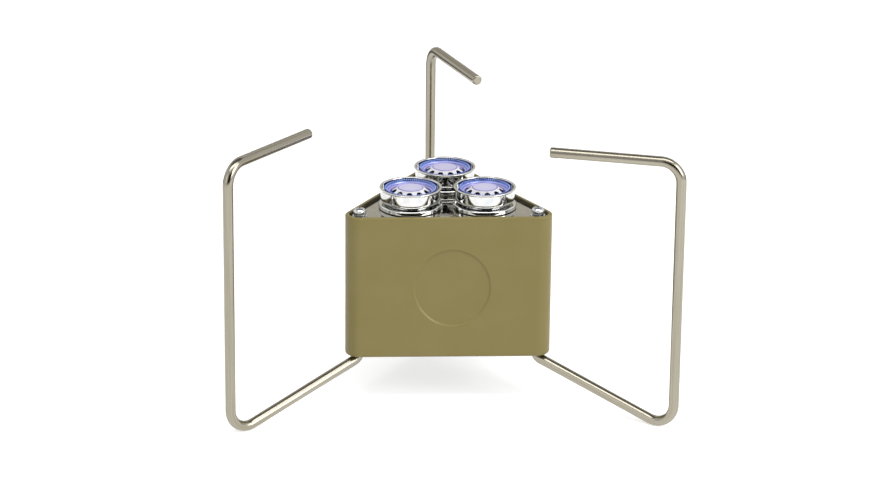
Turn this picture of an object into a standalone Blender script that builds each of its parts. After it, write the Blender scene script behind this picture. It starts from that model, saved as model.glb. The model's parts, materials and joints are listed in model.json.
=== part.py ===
"""Three-burner camping stove: a triangular housing that stands on three folding wire legs.

Units are metres and +Z is up. The origin is at the centre of the housing's underside, and the
wall with the round recess faces -Y. Run it with: blender --background --python part.py
"""

from math import cos, pi, radians, sin, sqrt, tan

import bmesh
import bpy
from mathutils import Matrix, Vector

# The three corners, as angles seen from above. Each has a leg, a burner and a pair of bushes.
STATIONS = {"left": radians(210), "right": radians(330), "rear": radians(90)}

# Clearances, and how far a cutter runs past what it cuts
SEAT_GAP = 0.0003
TURNING_GAP = 0.0001
OVERCUT = 0.0020

# Housing
PIVOT_SPACING = 0.0860
CORNER_RADIUS = 0.0070
HOUSING_HEIGHT = 0.0720
WALL = 0.0020
RIM_FILLET = 0.0008
BASE_FILLET = 0.0015
BOSS_RADIUS = 0.0060
PORT_RADIUS = 0.0030
PORT_OFFSET = 0.0160
PORT_MERGE = 0.0006
RECESS_DIAMETER = 0.0374
RECESS_DEPTH = 0.0006
RECESS_SHIFT = 0.0018

# Plates
RIM_DEPTH = 0.0016
TOP_PLATE = 0.0015
BOTTOM_PLATE = 0.0015
VENT_WIDTH = 0.0050
VENT_LENGTH = 0.0180
VENT_PITCH = 0.0080
VENTS_EACH = 3

# Legs
ROD_DIAMETER = 0.0050
LEG_REACH = 0.0765
LEG_DROP = 0.0021
BAR_SLOPE = radians(16.7)
BAR_HEIGHT = 0.1108
TOP_BAR = 0.0630
TOP_BAR_TWIST = radians(17.4)
PIVOT_BEND = 0.0050
ELBOW_BEND = 0.0100
TIP_CHAMFER = 0.0005
LEG_TURN = {"left": radians(5.4), "right": radians(-3.2), "rear": radians(2.1)}

# Leg pivots
BUSH_LENGTH = 0.0080
BUSH_WALL = 0.0010
BUSH_RECESS = 0.0012
JOURNAL_SETBACK = 0.0010
SCREW_DIAMETER = 0.0030
SCREW_LENGTH = 0.0110
HEAD_DIAMETER = 0.0062
HEAD_HEIGHT = 0.0025
HEAD_ROUND = 0.0015
CROSS_LENGTH = 0.0034
CROSS_WIDTH = 0.0008
CROSS_DEPTH = 0.0010
WASHER_DIAMETER = 0.0074
WASHER_THICKNESS = 0.0005
SPRING_DIAMETER = 0.0060
SPRING_THICKNESS = 0.0007
SPRING_SLIT = 0.0005

# Burners
BURNER_RADIUS = 0.0208
FLANGE_DIAMETER = 0.0310
FLANGE_THICKNESS = 0.0020
FLANGE_LIP = 0.0007
NECK_DIAMETER = 0.0230
NECK_HEIGHT = 0.0005
SPIGOT_DIAMETER = 0.0180
SPIGOT_LENGTH = 0.0115
SOCKET_ROOF = 0.0020
THROAT_DIAMETER = 0.0090
COLLAR_DIAMETER = 0.0126
COLLAR_HEIGHT = 0.0010
CUP_DIAMETER = 0.0304
CUP_HEIGHT = 0.0074
CUP_WALL = 0.0007
CUP_FLOOR = 0.0022
CUP_FOOT_FILLET = 0.0020
CUP_LIP = 0.0006
RING_CLEARANCE = 0.0010
RING_WIDTH = 0.0010
RING_TOOTH = 0.0006
RING_CROWN = 0.0010
RING_MERGE = 0.0002
RING_DROP = 0.0004
RING_GAP = 0.0004
RING_STEPS = 4
RING_RISE = 0.00045
RING_TEETH = 40
CAP_TOP_DIAMETER = 0.0123
CAP_SKIRT_DIAMETER = 0.0184
CAP_CONE = 0.0019
CAP_DROP = 0.0004
CAP_WALL = 0.0009
CAP_EDGE = 0.0005
CAP_PORTS = 10
CAP_PORT_WIDTH = 0.0038
CAP_PORT_HEIGHT = 0.0039
CAP_PORT_START = 0.0068
NUT_WIDTH = 0.0235
NUT_HEIGHT = 0.0040

# Gas supply
SUPPLY_HEIGHT = 0.0120
BLOCK_HEIGHT = 0.0080
HUB_DIAMETER = 0.0180
ARM_WIDTH = 0.0090
PAD_DIAMETER = 0.0150
JET_SEAT_DIAMETER = 0.0104
JET_SEAT_HEIGHT = 0.0060
JET_THREAD_DIAMETER = 0.0030
JET_THREAD_LENGTH = 0.0060
JET_DIAMETER = 0.0056
JET_HEIGHT = 0.0030
JET_TIP_DIAMETER = 0.0030
JET_TIP_HEIGHT = 0.0020
JET_BORE = 0.0010
TUBE_WALL = 0.0010
AIR_PORT_DIAMETER = 0.0040
AIR_PORTS = 4
AIR_PORT_RISE = 0.0150
FEED_DIAMETER = 0.0040
FEED_BORE = 0.0020
GALLERY_DEPTH = 0.0045
FEED_SOCKET_DEPTH = 0.0038
INLET_ANGLE = radians(30)
INLET_THREAD_DIAMETER = 0.0096
INLET_HEX = 0.0140
INLET_HEX_HEIGHT = 0.0035
INLET_STUB_LENGTH = 0.0090
INLET_INNER_LENGTH = 0.0075
INLET_NUT_HEIGHT = 0.0030
INLET_WASHER = 0.0008
INLET_CHAMFER = 0.0006

# Bottom plate screws
CLOSING_SCREW_DIAMETER = 0.0020
CLOSING_HEAD_DIAMETER = 0.0044
CLOSING_HEAD_HEIGHT = 0.0011
CLOSING_SCREW_LENGTH = 0.0070
CLOSING_HEAD_SINK = 0.0001
CLOSING_CROSS_LENGTH = 0.0020
CLOSING_CROSS_WIDTH = 0.0005
CLOSING_CROSS_DEPTH = 0.0006

# Facets of round shapes
RECESS_SIDES = 48
CAP_SIDES = 30
LARGE_SIDES = 24
MEDIUM_SIDES = 16
SMALL_SIDES = 12
CORNER_STEPS = 6
BEND_STEPS = 6

# Levels and radii that follow from the sizes above
PIVOT_RADIUS = PIVOT_SPACING / sqrt(3)
WALL_DISTANCE = PIVOT_RADIUS / 2 + CORNER_RADIUS
POCKET_RADIUS = CORNER_RADIUS - WALL
ROD_RADIUS = ROD_DIAMETER / 2
PLATE_TOP = HOUSING_HEIGHT - RIM_DEPTH
PLATE_UNDERSIDE = PLATE_TOP - TOP_PLATE
BOSS_TOP = PLATE_UNDERSIDE - SEAT_GAP
BUSH_BORE = ROD_RADIUS + TURNING_GAP
BUSH_OUTER = BUSH_BORE + BUSH_WALL
BUSH_SEAT = BUSH_OUTER + SEAT_GAP
JOURNAL_TOP = BOSS_TOP - JOURNAL_SETBACK
CUP_BASE = PLATE_TOP + SEAT_GAP + FLANGE_THICKNESS + NECK_HEIGHT + SEAT_GAP
CUP_RIM = CUP_BASE + CUP_HEIGHT
CUP_INSIDE = CUP_BASE + CUP_FLOOR
TUBE_OUTER = JET_SEAT_DIAMETER / 2 + SEAT_GAP + TUBE_WALL
BLOCK_TOP = SUPPLY_HEIGHT + BLOCK_HEIGHT / 2
SPIGOT_BOTTOM = PLATE_TOP + SEAT_GAP - SPIGOT_LENGTH
SOCKET_DEPTH = SPIGOT_LENGTH - TOP_PLATE - SEAT_GAP - SOCKET_ROOF
TUBE_TOP = SPIGOT_BOTTOM + SOCKET_DEPTH - SEAT_GAP


def clear_scene():
    """Removes what the scene starts with."""
    for obj in list(bpy.data.objects):
        bpy.data.objects.remove(obj, do_unlink=True)


def new_collection(name):
    collection = bpy.data.collections.new(name)
    bpy.context.scene.collection.children.link(collection)
    return collection


def srgb(code):
    """Linear RGB of a colour such as "8D8154"."""
    parts = [int(code[i : i + 2], 16) / 255 for i in (0, 2, 4)]
    return [c / 12.92 if c <= 0.04045 else ((c + 0.055) / 1.055) ** 2.4 for c in parts]


def new_material(name, colour, roughness, metallic):
    material = bpy.data.materials.new(name)
    material.use_nodes = True
    shader = material.node_tree.nodes["Principled BSDF"]
    shader.inputs["Base Color"].default_value = (*srgb(colour), 1)
    shader.inputs["Roughness"].default_value = roughness
    shader.inputs["Metallic"].default_value = metallic
    return material


def polar(radius, angle):
    return radius * cos(angle), radius * sin(angle)


def circle(radius, sides=MEDIUM_SIDES, centre=(0, 0)):
    """Points of a circle, or of a regular polygon with few sides."""
    turns = [2 * pi * i / sides for i in range(sides)]
    return [(centre[0] + radius * cos(t), centre[1] + radius * sin(t)) for t in turns]


def hexagon(width):
    """Outline of a hexagon with this width across its flats."""
    return circle(width / 2 / cos(pi / 6), 6)


def rounded_triangle(radius):
    """The triangle of the leg pivots, grown by a radius, which also rounds its corners."""
    points = []
    for angle in sorted(STATIONS.values()):
        x, y = polar(PIVOT_RADIUS, angle)
        for step in range(CORNER_STEPS + 1):
            turn = angle + radians(120) * (step / CORNER_STEPS - 0.5)
            points.append((x + radius * cos(turn), y + radius * sin(turn)))
    return points


def slot(length, width, centre, angle, steps=4):
    """A slot with round ends, along this angle."""
    points = []
    for end in (0, pi):
        middle = Vector(centre) + Vector(polar((length - width) / 2, angle + end))
        for step in range(steps + 1):
            turn = angle + end + pi * (step / steps - 0.5)
            points.append((middle.x + width / 2 * cos(turn), middle.y + width / 2 * sin(turn)))
    return points


def shaded(mesh, limit=radians(35)):
    mesh.shade_smooth()
    mesh.set_sharp_from_angle(angle=limit)


def welded(obj, collection):
    """The mesh object of a curve object, with its caps joined to its sides."""
    collection.objects.link(obj)
    bpy.context.view_layer.update()
    graph = bpy.context.evaluated_depsgraph_get()
    mesh = bpy.data.meshes.new_from_object(obj.evaluated_get(graph))
    mesh.name = obj.name
    shape = bmesh.new()
    shape.from_mesh(mesh)
    bmesh.ops.remove_doubles(shape, verts=shape.verts, dist=1e-6)
    bmesh.ops.recalc_face_normals(shape, faces=shape.faces)
    shape.to_mesh(mesh)
    shape.free()
    name, place = obj.name, obj.matrix_world.copy()
    bpy.data.objects.remove(obj)
    made = bpy.data.objects.new(name, mesh)
    made.matrix_world = place
    collection.objects.link(made)
    return made


def finish(obj, material, parent=None):
    """Gives a part its material, its shading and what carries it."""
    obj.data.materials.clear()
    obj.data.materials.append(material)
    shaded(obj.data)
    obj.parent = parent
    return obj


def slab(name, loops, low, high, collection):
    """A flat piece between two heights, with the first loop as outline and the others as holes."""
    curve = bpy.data.curves.new(name, "CURVE")
    curve.dimensions = "2D"
    curve.fill_mode = "BOTH"
    curve.extrude = (high - low) / 2
    for loop in loops:
        spline = curve.splines.new("POLY")
        spline.points.add(len(loop) - 1)
        for point, (x, y) in zip(spline.points, loop):
            point.co = (x, y, 0, 1)
        spline.use_cyclic_u = True
    obj = welded(bpy.data.objects.new(name, curve), collection)
    obj.data.transform(Matrix.Translation((0, 0, (low + high) / 2)))
    return obj


def turned(name, profile, collection, sides=MEDIUM_SIDES):
    """A turned piece. The profile of (radius, height) points runs down its outer side, and it
    closes on itself unless it starts on the axis."""
    count = len(profile)
    ring = profile[0][0] > 0
    edges = [(i, (i + 1) % count) for i in range(count if ring else count - 1)]
    mesh = bpy.data.meshes.new(name)
    mesh.from_pydata([(x, 0, z) for x, z in profile], edges, [])
    obj = bpy.data.objects.new(name, mesh)
    screw = obj.modifiers.new("Turn", "SCREW")
    screw.axis = "Z"
    screw.steps = sides
    screw.render_steps = sides
    screw.use_merge_vertices = True
    screw.merge_threshold = 1e-6
    screw.use_smooth_shade = True
    collection.objects.link(obj)
    return obj


def cylinder(radius, low, high):
    """Profile of a plain cylinder."""
    return [(0, high), (radius, high), (radius, low), (0, low)]


def ring_profile(outer, inner, low, high):
    """Profile of a plain ring."""
    return [(outer, high), (outer, low), (inner, low), (inner, high)]


def quarter(centre, radius, start, steps=3):
    """Profile points of a quarter arc that runs clockwise from an angle."""
    turns = [start - pi / 2 * i / steps for i in range(steps + 1)]
    return [(centre[0] + radius * cos(t), centre[1] + radius * sin(t)) for t in turns]


def shape_with(obj, tool, operation="DIFFERENCE", solver="EXACT"):
    """Cuts a piece by a tool, or joins the tool to it, and hides the tool from renders."""
    change = obj.modifiers.new(tool.name, "BOOLEAN")
    change.operation = operation
    change.solver = solver
    change.object = tool
    tool.hide_render = True
    tool.display_type = "WIRE"
    return obj


def place(obj, location, rotation=(0, 0, 0), parent=None):
    obj.location = location
    obj.rotation_euler = rotation
    obj.parent = parent
    return obj


def new_anchor(name, location, angle, collection):
    """An empty that carries the pieces of one corner or one burner."""
    anchor = bpy.data.objects.new(name, None)
    anchor.location = location
    anchor.rotation_euler.z = angle
    anchor.empty_display_size = 0.01
    collection.objects.link(anchor)
    return anchor


def round_outer_edges(obj, level, radius, steps):
    """Rounds the edges of a prism that lie at one height."""
    shape = bmesh.new()
    shape.from_mesh(obj.data)
    there = [e for e in shape.edges if all(abs(v.co.z - level) < 1e-6 for v in e.verts)]
    edges = [e for e in there if e.calc_face_angle(0) > radians(45)]
    bmesh.ops.bevel(
        shape, geom=edges, offset=radius, segments=steps, profile=0.5, affect="EDGES"
    )
    shape.to_mesh(obj.data)
    shape.free()


def filleted(corners, radii, steps=BEND_STEPS):
    """Points along straight runs between corners, with an arc of steps at each inner corner."""
    points = [corners[0]]
    for before, corner, after, radius in zip(corners, corners[1:], corners[2:], radii):
        back = (before - corner).normalized()
        ahead = (after - corner).normalized()
        half = back.angle(ahead) / 2
        centre = corner + (back + ahead).normalized() * radius / sin(half)
        arm = corner + back * radius / tan(half) - centre
        axis = back.cross(ahead).normalized()
        for step in range(steps + 1):
            turn = Matrix.Rotation(-(pi - 2 * half) * step / steps, 3, axis)
            points.append(centre + turn @ arm)
    points.append(corners[-1])
    return points


def wire(name, points, radius, collection, resolution=4, radii=None):
    """A round wire along points, as a mesh with closed ends."""
    curve = bpy.data.curves.new(name, "CURVE")
    curve.dimensions = "3D"
    curve.bevel_depth = radius
    curve.bevel_resolution = resolution
    curve.use_fill_caps = True
    spline = curve.splines.new("POLY")
    spline.points.add(len(points) - 1)
    for i, (point, co) in enumerate(zip(spline.points, points)):
        point.co = (*co, 1)
        point.radius = radii[i] if radii else 1
    return welded(bpy.data.objects.new(name, curve), collection)


def port_centre(index):
    """Centre of a screw port of the extrusion, beside the middle of one wall."""
    angle = radians(30 + 120 * index)
    middle = Vector(polar(WALL_DISTANCE - WALL - PORT_RADIUS + PORT_MERGE, angle))
    return middle + Vector(polar(PORT_OFFSET, angle + pi / 2))


def pivot_location(station, height=0):
    return Vector((*polar(PIVOT_RADIUS, STATIONS[station]), height))


def burner_location(station, height=0):
    return Vector((*polar(BURNER_RADIUS, STATIONS[station]), height))


def cavity_tool(tools):
    """The housing's hollow, which leaves the corner bosses and the screw ports standing."""
    outline = [rounded_triangle(POCKET_RADIUS)]
    hollow = slab("cavity", outline, -OVERCUT, HOUSING_HEIGHT + OVERCUT, tools)
    for station in STATIONS:
        boss = turned(f"boss_{station}", cylinder(BOSS_RADIUS, -2 * OVERCUT, BOSS_TOP), tools)
        shape_with(hollow, place(boss, pivot_location(station)), solver="MANIFOLD")
    port_foot = BOTTOM_PLATE + SEAT_GAP
    for index in range(3):
        port = turned(f"port_{index}", cylinder(PORT_RADIUS, port_foot, BOSS_TOP), tools, SMALL_SIDES)
        shape_with(hollow, place(port, (*port_centre(index), 0)), solver="MANIFOLD")
    return hollow


def bore_tool(station, tools):
    """A corner's bore for the leg's journal, with a wider seat for a bush at each end."""
    clear = BUSH_BORE + SEAT_GAP
    lower = BUSH_RECESS + BUSH_LENGTH + SEAT_GAP
    upper = BOSS_TOP - BUSH_LENGTH - 2 * SEAT_GAP
    profile = [(0, HOUSING_HEIGHT), (BUSH_SEAT, HOUSING_HEIGHT), (BUSH_SEAT, upper), (clear, upper)]
    profile += [(clear, lower), (BUSH_SEAT, lower), (BUSH_SEAT, -OVERCUT), (0, -OVERCUT)]
    return place(turned(f"bore_{station}", profile, tools), pivot_location(station))


def port_tap_tool(index, tools):
    """Pilot hole for a closing screw, up into the foot of a screw port."""
    tap = cylinder(CLOSING_SCREW_DIAMETER / 2 + SEAT_GAP, 0, CLOSING_SCREW_LENGTH + OVERCUT)
    hole = turned(f"port_tap_{index}", tap, tools, SMALL_SIDES)
    return place(hole, (*port_centre(index), 0))


def recess_tool(tools):
    """Shallow round recess with a bevelled edge, on the front wall."""
    half = RECESS_DIAMETER / 2
    dish = [(0, OVERCUT), (half + OVERCUT, OVERCUT), (half, 0), (half - RECESS_DEPTH, -RECESS_DEPTH)]
    recess = turned("recess", [*dish, (0, -RECESS_DEPTH)], tools, RECESS_SIDES)
    centre = (RECESS_SHIFT, -WALL_DISTANCE, HOUSING_HEIGHT / 2)
    return place(recess, centre, (pi / 2, 0, 0))


def make_housing(parts, tools, material):
    """The extruded casing, with bosses at its corners and a round recess on its front wall."""
    body = slab("housing", [rounded_triangle(CORNER_RADIUS)], 0, HOUSING_HEIGHT, parts)
    round_outer_edges(body, HOUSING_HEIGHT, RIM_FILLET, 2)
    round_outer_edges(body, 0, BASE_FILLET, 3)
    cuts = [cavity_tool(tools), recess_tool(tools), inlet_hole(tools)]
    cuts += [port_tap_tool(index, tools) for index in range(3)]
    cuts += [bore_tool(station, tools) for station in STATIONS]
    for tool in cuts:
        shape_with(body, tool, solver="MANIFOLD")
    return finish(body, material)


def place_on_inlet(obj, distance):
    """Turns a piece made along +Z so that it points out of the inlet's wall."""
    x, y = polar(distance, INLET_ANGLE)
    return place(obj, (x, y, SUPPLY_HEIGHT), (0, pi / 2, INLET_ANGLE))


def inlet_hole(tools):
    hole = cylinder(INLET_THREAD_DIAMETER / 2 + SEAT_GAP, -WALL - OVERCUT, OVERCUT)
    return place_on_inlet(turned("inlet_hole", hole, tools), WALL_DISTANCE)


def make_plates(parts, tools, steel, dark):
    """The polished plate under the burners, and the vented plate that closes the underside."""
    outline = rounded_triangle(POCKET_RADIUS - SEAT_GAP)
    loops = [outline]
    for station in STATIONS:
        burner = burner_location(station).to_2d()
        pivot = pivot_location(station).to_2d()
        loops.append(circle(SPIGOT_DIAMETER / 2 + SEAT_GAP, MEDIUM_SIDES, burner))
        loops.append(circle(SCREW_DIAMETER / 2 + SEAT_GAP, SMALL_SIDES, pivot))
    finish(slab("top_plate", loops, PLATE_UNDERSIDE, PLATE_TOP, parts), steel)

    loops = [outline]
    for angle in STATIONS.values():
        for row in range(VENTS_EACH):
            middle = polar(BURNER_RADIUS + VENT_PITCH * (row - (VENTS_EACH - 1) / 2), angle)
            loops.append(slot(VENT_LENGTH, VENT_WIDTH, middle, angle + pi / 2))
    plate = slab("bottom_plate", loops, 0, BOTTOM_PLATE, parts)
    for station in STATIONS:
        around = cylinder(BOSS_RADIUS + SEAT_GAP, -OVERCUT, BOTTOM_PLATE + OVERCUT)
        shape_with(plate, place(turned(f"notch_{station}", around, tools), pivot_location(station)))
    for index in range(3):
        head, shank = CLOSING_HEAD_DIAMETER / 2 + SEAT_GAP, CLOSING_SCREW_DIAMETER / 2 + SEAT_GAP
        high = BOTTOM_PLATE + OVERCUT
        hole = [(0, high), (shank, high), (shank, CLOSING_HEAD_HEIGHT)]
        hole += [(head, 0), (head, -OVERCUT), (0, -OVERCUT)]
        tool = turned(f"countersink_{index}", hole, tools, SMALL_SIDES)
        shape_with(plate, place(tool, (*port_centre(index), 0)))
    finish(plate, dark)


def make_closing_screws(parts, tools, material):
    """Countersunk screws that hold the bottom plate to the housing's screw ports."""
    head, shank = CLOSING_HEAD_DIAMETER / 2, CLOSING_SCREW_DIAMETER / 2
    low = CLOSING_HEAD_SINK
    for index in range(3):
        profile = [(0, CLOSING_SCREW_LENGTH), (shank, CLOSING_SCREW_LENGTH)]
        profile += [(shank, CLOSING_HEAD_HEIGHT + low), (head, low), (0, low)]
        screw = turned(f"closing_screw_{index + 1}", profile, parts, SMALL_SIDES)
        outline = [cross_outline(CLOSING_CROSS_LENGTH, CLOSING_CROSS_WIDTH)]
        cross = slab(f"closing_cross_{index}", outline, -OVERCUT, low + CLOSING_CROSS_DEPTH, tools)
        cross.parent = screw
        shape_with(screw, cross)
        finish(place(screw, (*port_centre(index), 0)), material)


def cross_outline(length, width):
    """Outline of a screw's cross recess."""
    long, short = length / 2, width / 2
    arm = [(long, -short), (long, short), (short, short)]
    return [(Matrix.Rotation(pi / 2 * k, 2) @ Vector(p))[:] for k in range(4) for p in arm]


def make_leg(station, parts, tools, material):
    """One bent rod: journal, bar, foot elbow, upright and top bar. Its origin is on its pivot."""
    foot = Vector((LEG_REACH, 0, -LEG_DROP - LEG_REACH * tan(BAR_SLOPE)))
    head = Vector((LEG_REACH, 0, BAR_HEIGHT))
    inward = Vector((*polar(1, pi + TOP_BAR_TWIST), 0))
    corners = [Vector((0, 0, JOURNAL_TOP)), Vector((0, 0, -LEG_DROP)), foot, head]
    corners.append(head + inward * TOP_BAR)
    points = filleted(corners, [PIVOT_BEND, ELBOW_BEND, ELBOW_BEND])
    points.insert(1, points[0] - Vector((0, 0, TIP_CHAMFER)))
    points.insert(-1, points[-1] - inward * TIP_CHAMFER)
    radii = [1.0] * len(points)
    radii[0] = radii[-1] = 1 - TIP_CHAMFER / ROD_RADIUS
    leg = wire(f"leg_{station}", points, ROD_RADIUS, parts, radii=radii)
    depth = SCREW_LENGTH + SEAT_GAP
    tap = cylinder(SCREW_DIAMETER / 2, JOURNAL_TOP - depth, JOURNAL_TOP + OVERCUT)
    hole = turned(f"leg_tap_{station}", tap, tools, SMALL_SIDES)
    hole.parent = leg
    shape_with(leg, hole)
    turn = STATIONS[station] + LEG_TURN[station]
    return finish(place(leg, pivot_location(station), (0, 0, turn)), material)


def make_pivot(station, anchor, parts, tools, steel, polymer):
    """What holds a leg's journal: two bushes, a screw with a cross recess and two washers."""
    lower = ring_profile(BUSH_OUTER, BUSH_BORE, BUSH_RECESS, BUSH_RECESS + BUSH_LENGTH)
    upper = ring_profile(BUSH_OUTER, BUSH_BORE, BOSS_TOP - BUSH_LENGTH - SEAT_GAP, BOSS_TOP - SEAT_GAP)
    finish(turned(f"lower_bush_{station}", lower, parts), polymer, anchor)
    finish(turned(f"upper_bush_{station}", upper, parts), polymer, anchor)

    hole = SCREW_DIAMETER / 2 + SEAT_GAP
    flat_low = PLATE_TOP + SEAT_GAP
    flat_high = flat_low + WASHER_THICKNESS
    flat = ring_profile(WASHER_DIAMETER / 2, hole, flat_low, flat_high)
    finish(turned(f"flat_washer_{station}", flat, parts), steel, anchor)

    spring_low = flat_high + SEAT_GAP
    spring_high = spring_low + SPRING_THICKNESS
    ring = ring_profile(SPRING_DIAMETER / 2, hole, spring_low, spring_high)
    spring = turned(f"spring_washer_{station}", ring, parts)
    far, side = SPRING_DIAMETER / 2 + OVERCUT, SPRING_SLIT / 2
    box = [[(0, -side), (far, -side), (far, side), (0, side)]]
    slit = slab(f"slit_{station}", box, spring_low - OVERCUT, spring_high + OVERCUT, tools)
    slit.parent = anchor
    shape_with(spring, slit)
    finish(spring, steel, anchor)

    under = spring_high + SEAT_GAP
    radius, top = HEAD_DIAMETER / 2, under + HEAD_HEIGHT
    shank = SCREW_DIAMETER / 2 - SEAT_GAP
    tip = JOURNAL_TOP - SCREW_LENGTH
    dome = quarter((radius - HEAD_ROUND, top - HEAD_ROUND), HEAD_ROUND, pi / 2)
    profile = [(0, top), *dome, (radius, under), (shank, under), (shank, tip), (0, tip)]
    screw = turned(f"leg_screw_{station}", profile, parts)
    outline = [cross_outline(CROSS_LENGTH, CROSS_WIDTH)]
    cross = slab(f"cross_{station}", outline, top - CROSS_DEPTH, top + OVERCUT, tools)
    cross.parent = anchor
    shape_with(screw, cross)
    finish(screw, steel, anchor)


def make_burner_base(station, anchor, parts, material):
    """Flange on the plate, a spigot through it, and a collar that centres the cup."""
    low = PLATE_TOP + SEAT_GAP
    flange, neck = FLANGE_DIAMETER / 2, NECK_DIAMETER / 2
    spigot, collar = SPIGOT_DIAMETER / 2, COLLAR_DIAMETER / 2
    shoulder = low + FLANGE_THICKNESS
    collar_top = CUP_INSIDE + COLLAR_HEIGHT
    socket = TUBE_OUTER + SEAT_GAP
    throat = THROAT_DIAMETER / 2
    profile = [
        (collar, collar_top),
        (collar, shoulder + NECK_HEIGHT),
        (neck, shoulder + NECK_HEIGHT),
        (neck, shoulder),
        (flange - FLANGE_LIP, shoulder),
        (flange, shoulder - FLANGE_LIP),
        (flange, low),
        (spigot, low),
        (spigot, SPIGOT_BOTTOM),
        (socket, SPIGOT_BOTTOM),
        (socket, SPIGOT_BOTTOM + SOCKET_DEPTH),
        (throat, SPIGOT_BOTTOM + SOCKET_DEPTH),
        (throat, collar_top),
    ]
    finish(turned(f"burner_base_{station}", profile, parts, LARGE_SIDES), material, anchor)


def make_burner_cup(station, anchor, parts, material):
    """Round cup with a thin flared lip, open at the centre of its floor."""
    outer = CUP_DIAMETER / 2 - CUP_LIP
    fillet = CUP_FOOT_FILLET
    foot = quarter((outer - fillet, CUP_BASE + fillet), fillet, 0)
    profile = [
        (CUP_DIAMETER / 2, CUP_RIM),
        (outer, CUP_RIM - CUP_LIP),
        *foot,
        (COLLAR_DIAMETER / 2 + SEAT_GAP, CUP_BASE),
        (COLLAR_DIAMETER / 2 + SEAT_GAP, CUP_INSIDE),
        (outer - CUP_WALL, CUP_INSIDE),
        (outer - CUP_WALL, CUP_RIM - CUP_LIP),
        (CUP_DIAMETER / 2 - CUP_WALL / 2, CUP_RIM),
    ]
    finish(turned(f"burner_cup_{station}", profile, parts, LARGE_SIDES), material, anchor)


def make_flame_ring(station, anchor, parts, tools, material):
    """Stepped ring that stands in the cup round the cap, with a crown of fine teeth a little off the wall."""
    outer = CUP_DIAMETER / 2 - CUP_LIP - CUP_WALL - RING_CLEARANCE
    inner = CAP_SKIRT_DIAMETER / 2 + RING_GAP
    root = outer - RING_WIDTH
    low, high = CUP_INSIDE + SEAT_GAP, CUP_RIM - RING_DROP
    shelf = high - RING_CROWN
    tread = (root - inner) / RING_STEPS
    level = shelf - RING_RISE * (RING_STEPS - 1)
    profile = [(outer, shelf), (outer, low), (inner, low), (inner, level)]
    for step in range(1, RING_STEPS):
        profile.append((inner + tread * step, level + RING_RISE * (step - 1)))
        profile.append((inner + tread * step, level + RING_RISE * step))
    ring = turned(f"flame_ring_{station}", profile, parts, LARGE_SIDES)

    teeth = []
    for tooth in range(2 * RING_TEETH):
        teeth.append(polar(root - RING_TOOTH * (tooth % 2), pi * tooth / RING_TEETH))
    loops = [circle(outer - RING_MERGE, LARGE_SIDES), teeth]
    crown = slab(f"crown_{station}", loops, shelf - RING_MERGE, high, tools)
    crown.parent = anchor
    shape_with(ring, crown, "UNION")
    finish(ring, material, anchor)


def arch(width, height, steps=5):
    """Outline of an arched port that stands on y = 0 and runs on below it."""
    half = width / 2
    turns = [pi * step / steps for step in range(steps + 1)]
    crown = [(half * cos(t), height - half + half * sin(t)) for t in turns]
    return [*crown, (-half, -height), (half, -height)]


def make_burner_cap(station, anchor, parts, tools, material):
    """Hollow cap with a flat top, a cone round it and arched ports through cone and skirt."""
    low, high = CUP_INSIDE + SEAT_GAP, CUP_RIM - CAP_DROP
    crown, skirt = CAP_TOP_DIAMETER / 2, CAP_SKIRT_DIAMETER / 2
    roof, shoulder = high - CAP_EDGE - CAP_WALL, high - CAP_CONE
    profile = [
        (0, high),
        (crown - CAP_EDGE, high),
        (crown, high - CAP_EDGE),
        (skirt, shoulder),
        (skirt, low),
        (skirt - CAP_WALL, low),
        (skirt - CAP_WALL, shoulder - CAP_WALL / 2),
        (crown - CAP_WALL / 2, roof),
        (0, roof),
    ]
    cap = turned(f"burner_cap_{station}", profile, parts, CAP_SIDES)
    for port in range(CAP_PORTS):
        outline = [arch(CAP_PORT_WIDTH, CAP_PORT_HEIGHT)]
        tool = slab(f"cap_port_{station}_{port}", outline, CAP_PORT_START, 2 * skirt, tools)
        turn = 2 * pi * (port + 0.5) / CAP_PORTS
        upright = Matrix(((0, 0, 1), (1, 0, 0), (0, 1, 0))).to_4x4()
        tool.data.transform(Matrix.Rotation(turn, 4, "Z") @ upright)
        tool.data.transform(Matrix.Translation((0, 0, low)))
        tool.parent = anchor
        shape_with(cap, tool)
    finish(cap, material, anchor)


def make_burner_nut(station, anchor, parts, material):
    """Ring nut that clamps the burner's base to the plate from below."""
    high = PLATE_UNDERSIDE - SEAT_GAP
    loops = [hexagon(NUT_WIDTH), circle(SPIGOT_DIAMETER / 2 + SEAT_GAP)]
    finish(slab(f"burner_nut_{station}", loops, high - NUT_HEIGHT, high, parts), material, anchor)


def make_mixing_tube(station, anchor, parts, tools, brass):
    """Tube that draws air in round the jet and leads the gas up to the burner."""
    low = BLOCK_TOP + SEAT_GAP
    tube = turned(
        f"mixing_tube_{station}",
        ring_profile(TUBE_OUTER, TUBE_OUTER - TUBE_WALL, low, TUBE_TOP),
        parts,
    )
    for port in range(AIR_PORTS):
        turn = 2 * pi * (port + 0.5) / AIR_PORTS
        tool = turned(
            f"air_port_{station}_{port}",
            cylinder(AIR_PORT_DIAMETER / 2, TUBE_OUTER / 2, TUBE_OUTER + OVERCUT),
            tools,
            SMALL_SIDES,
        )
        place(tool, (0, 0, BLOCK_TOP + AIR_PORT_RISE), (0, pi / 2, turn), anchor)
        shape_with(tube, tool)
    finish(tube, brass, anchor)


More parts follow.
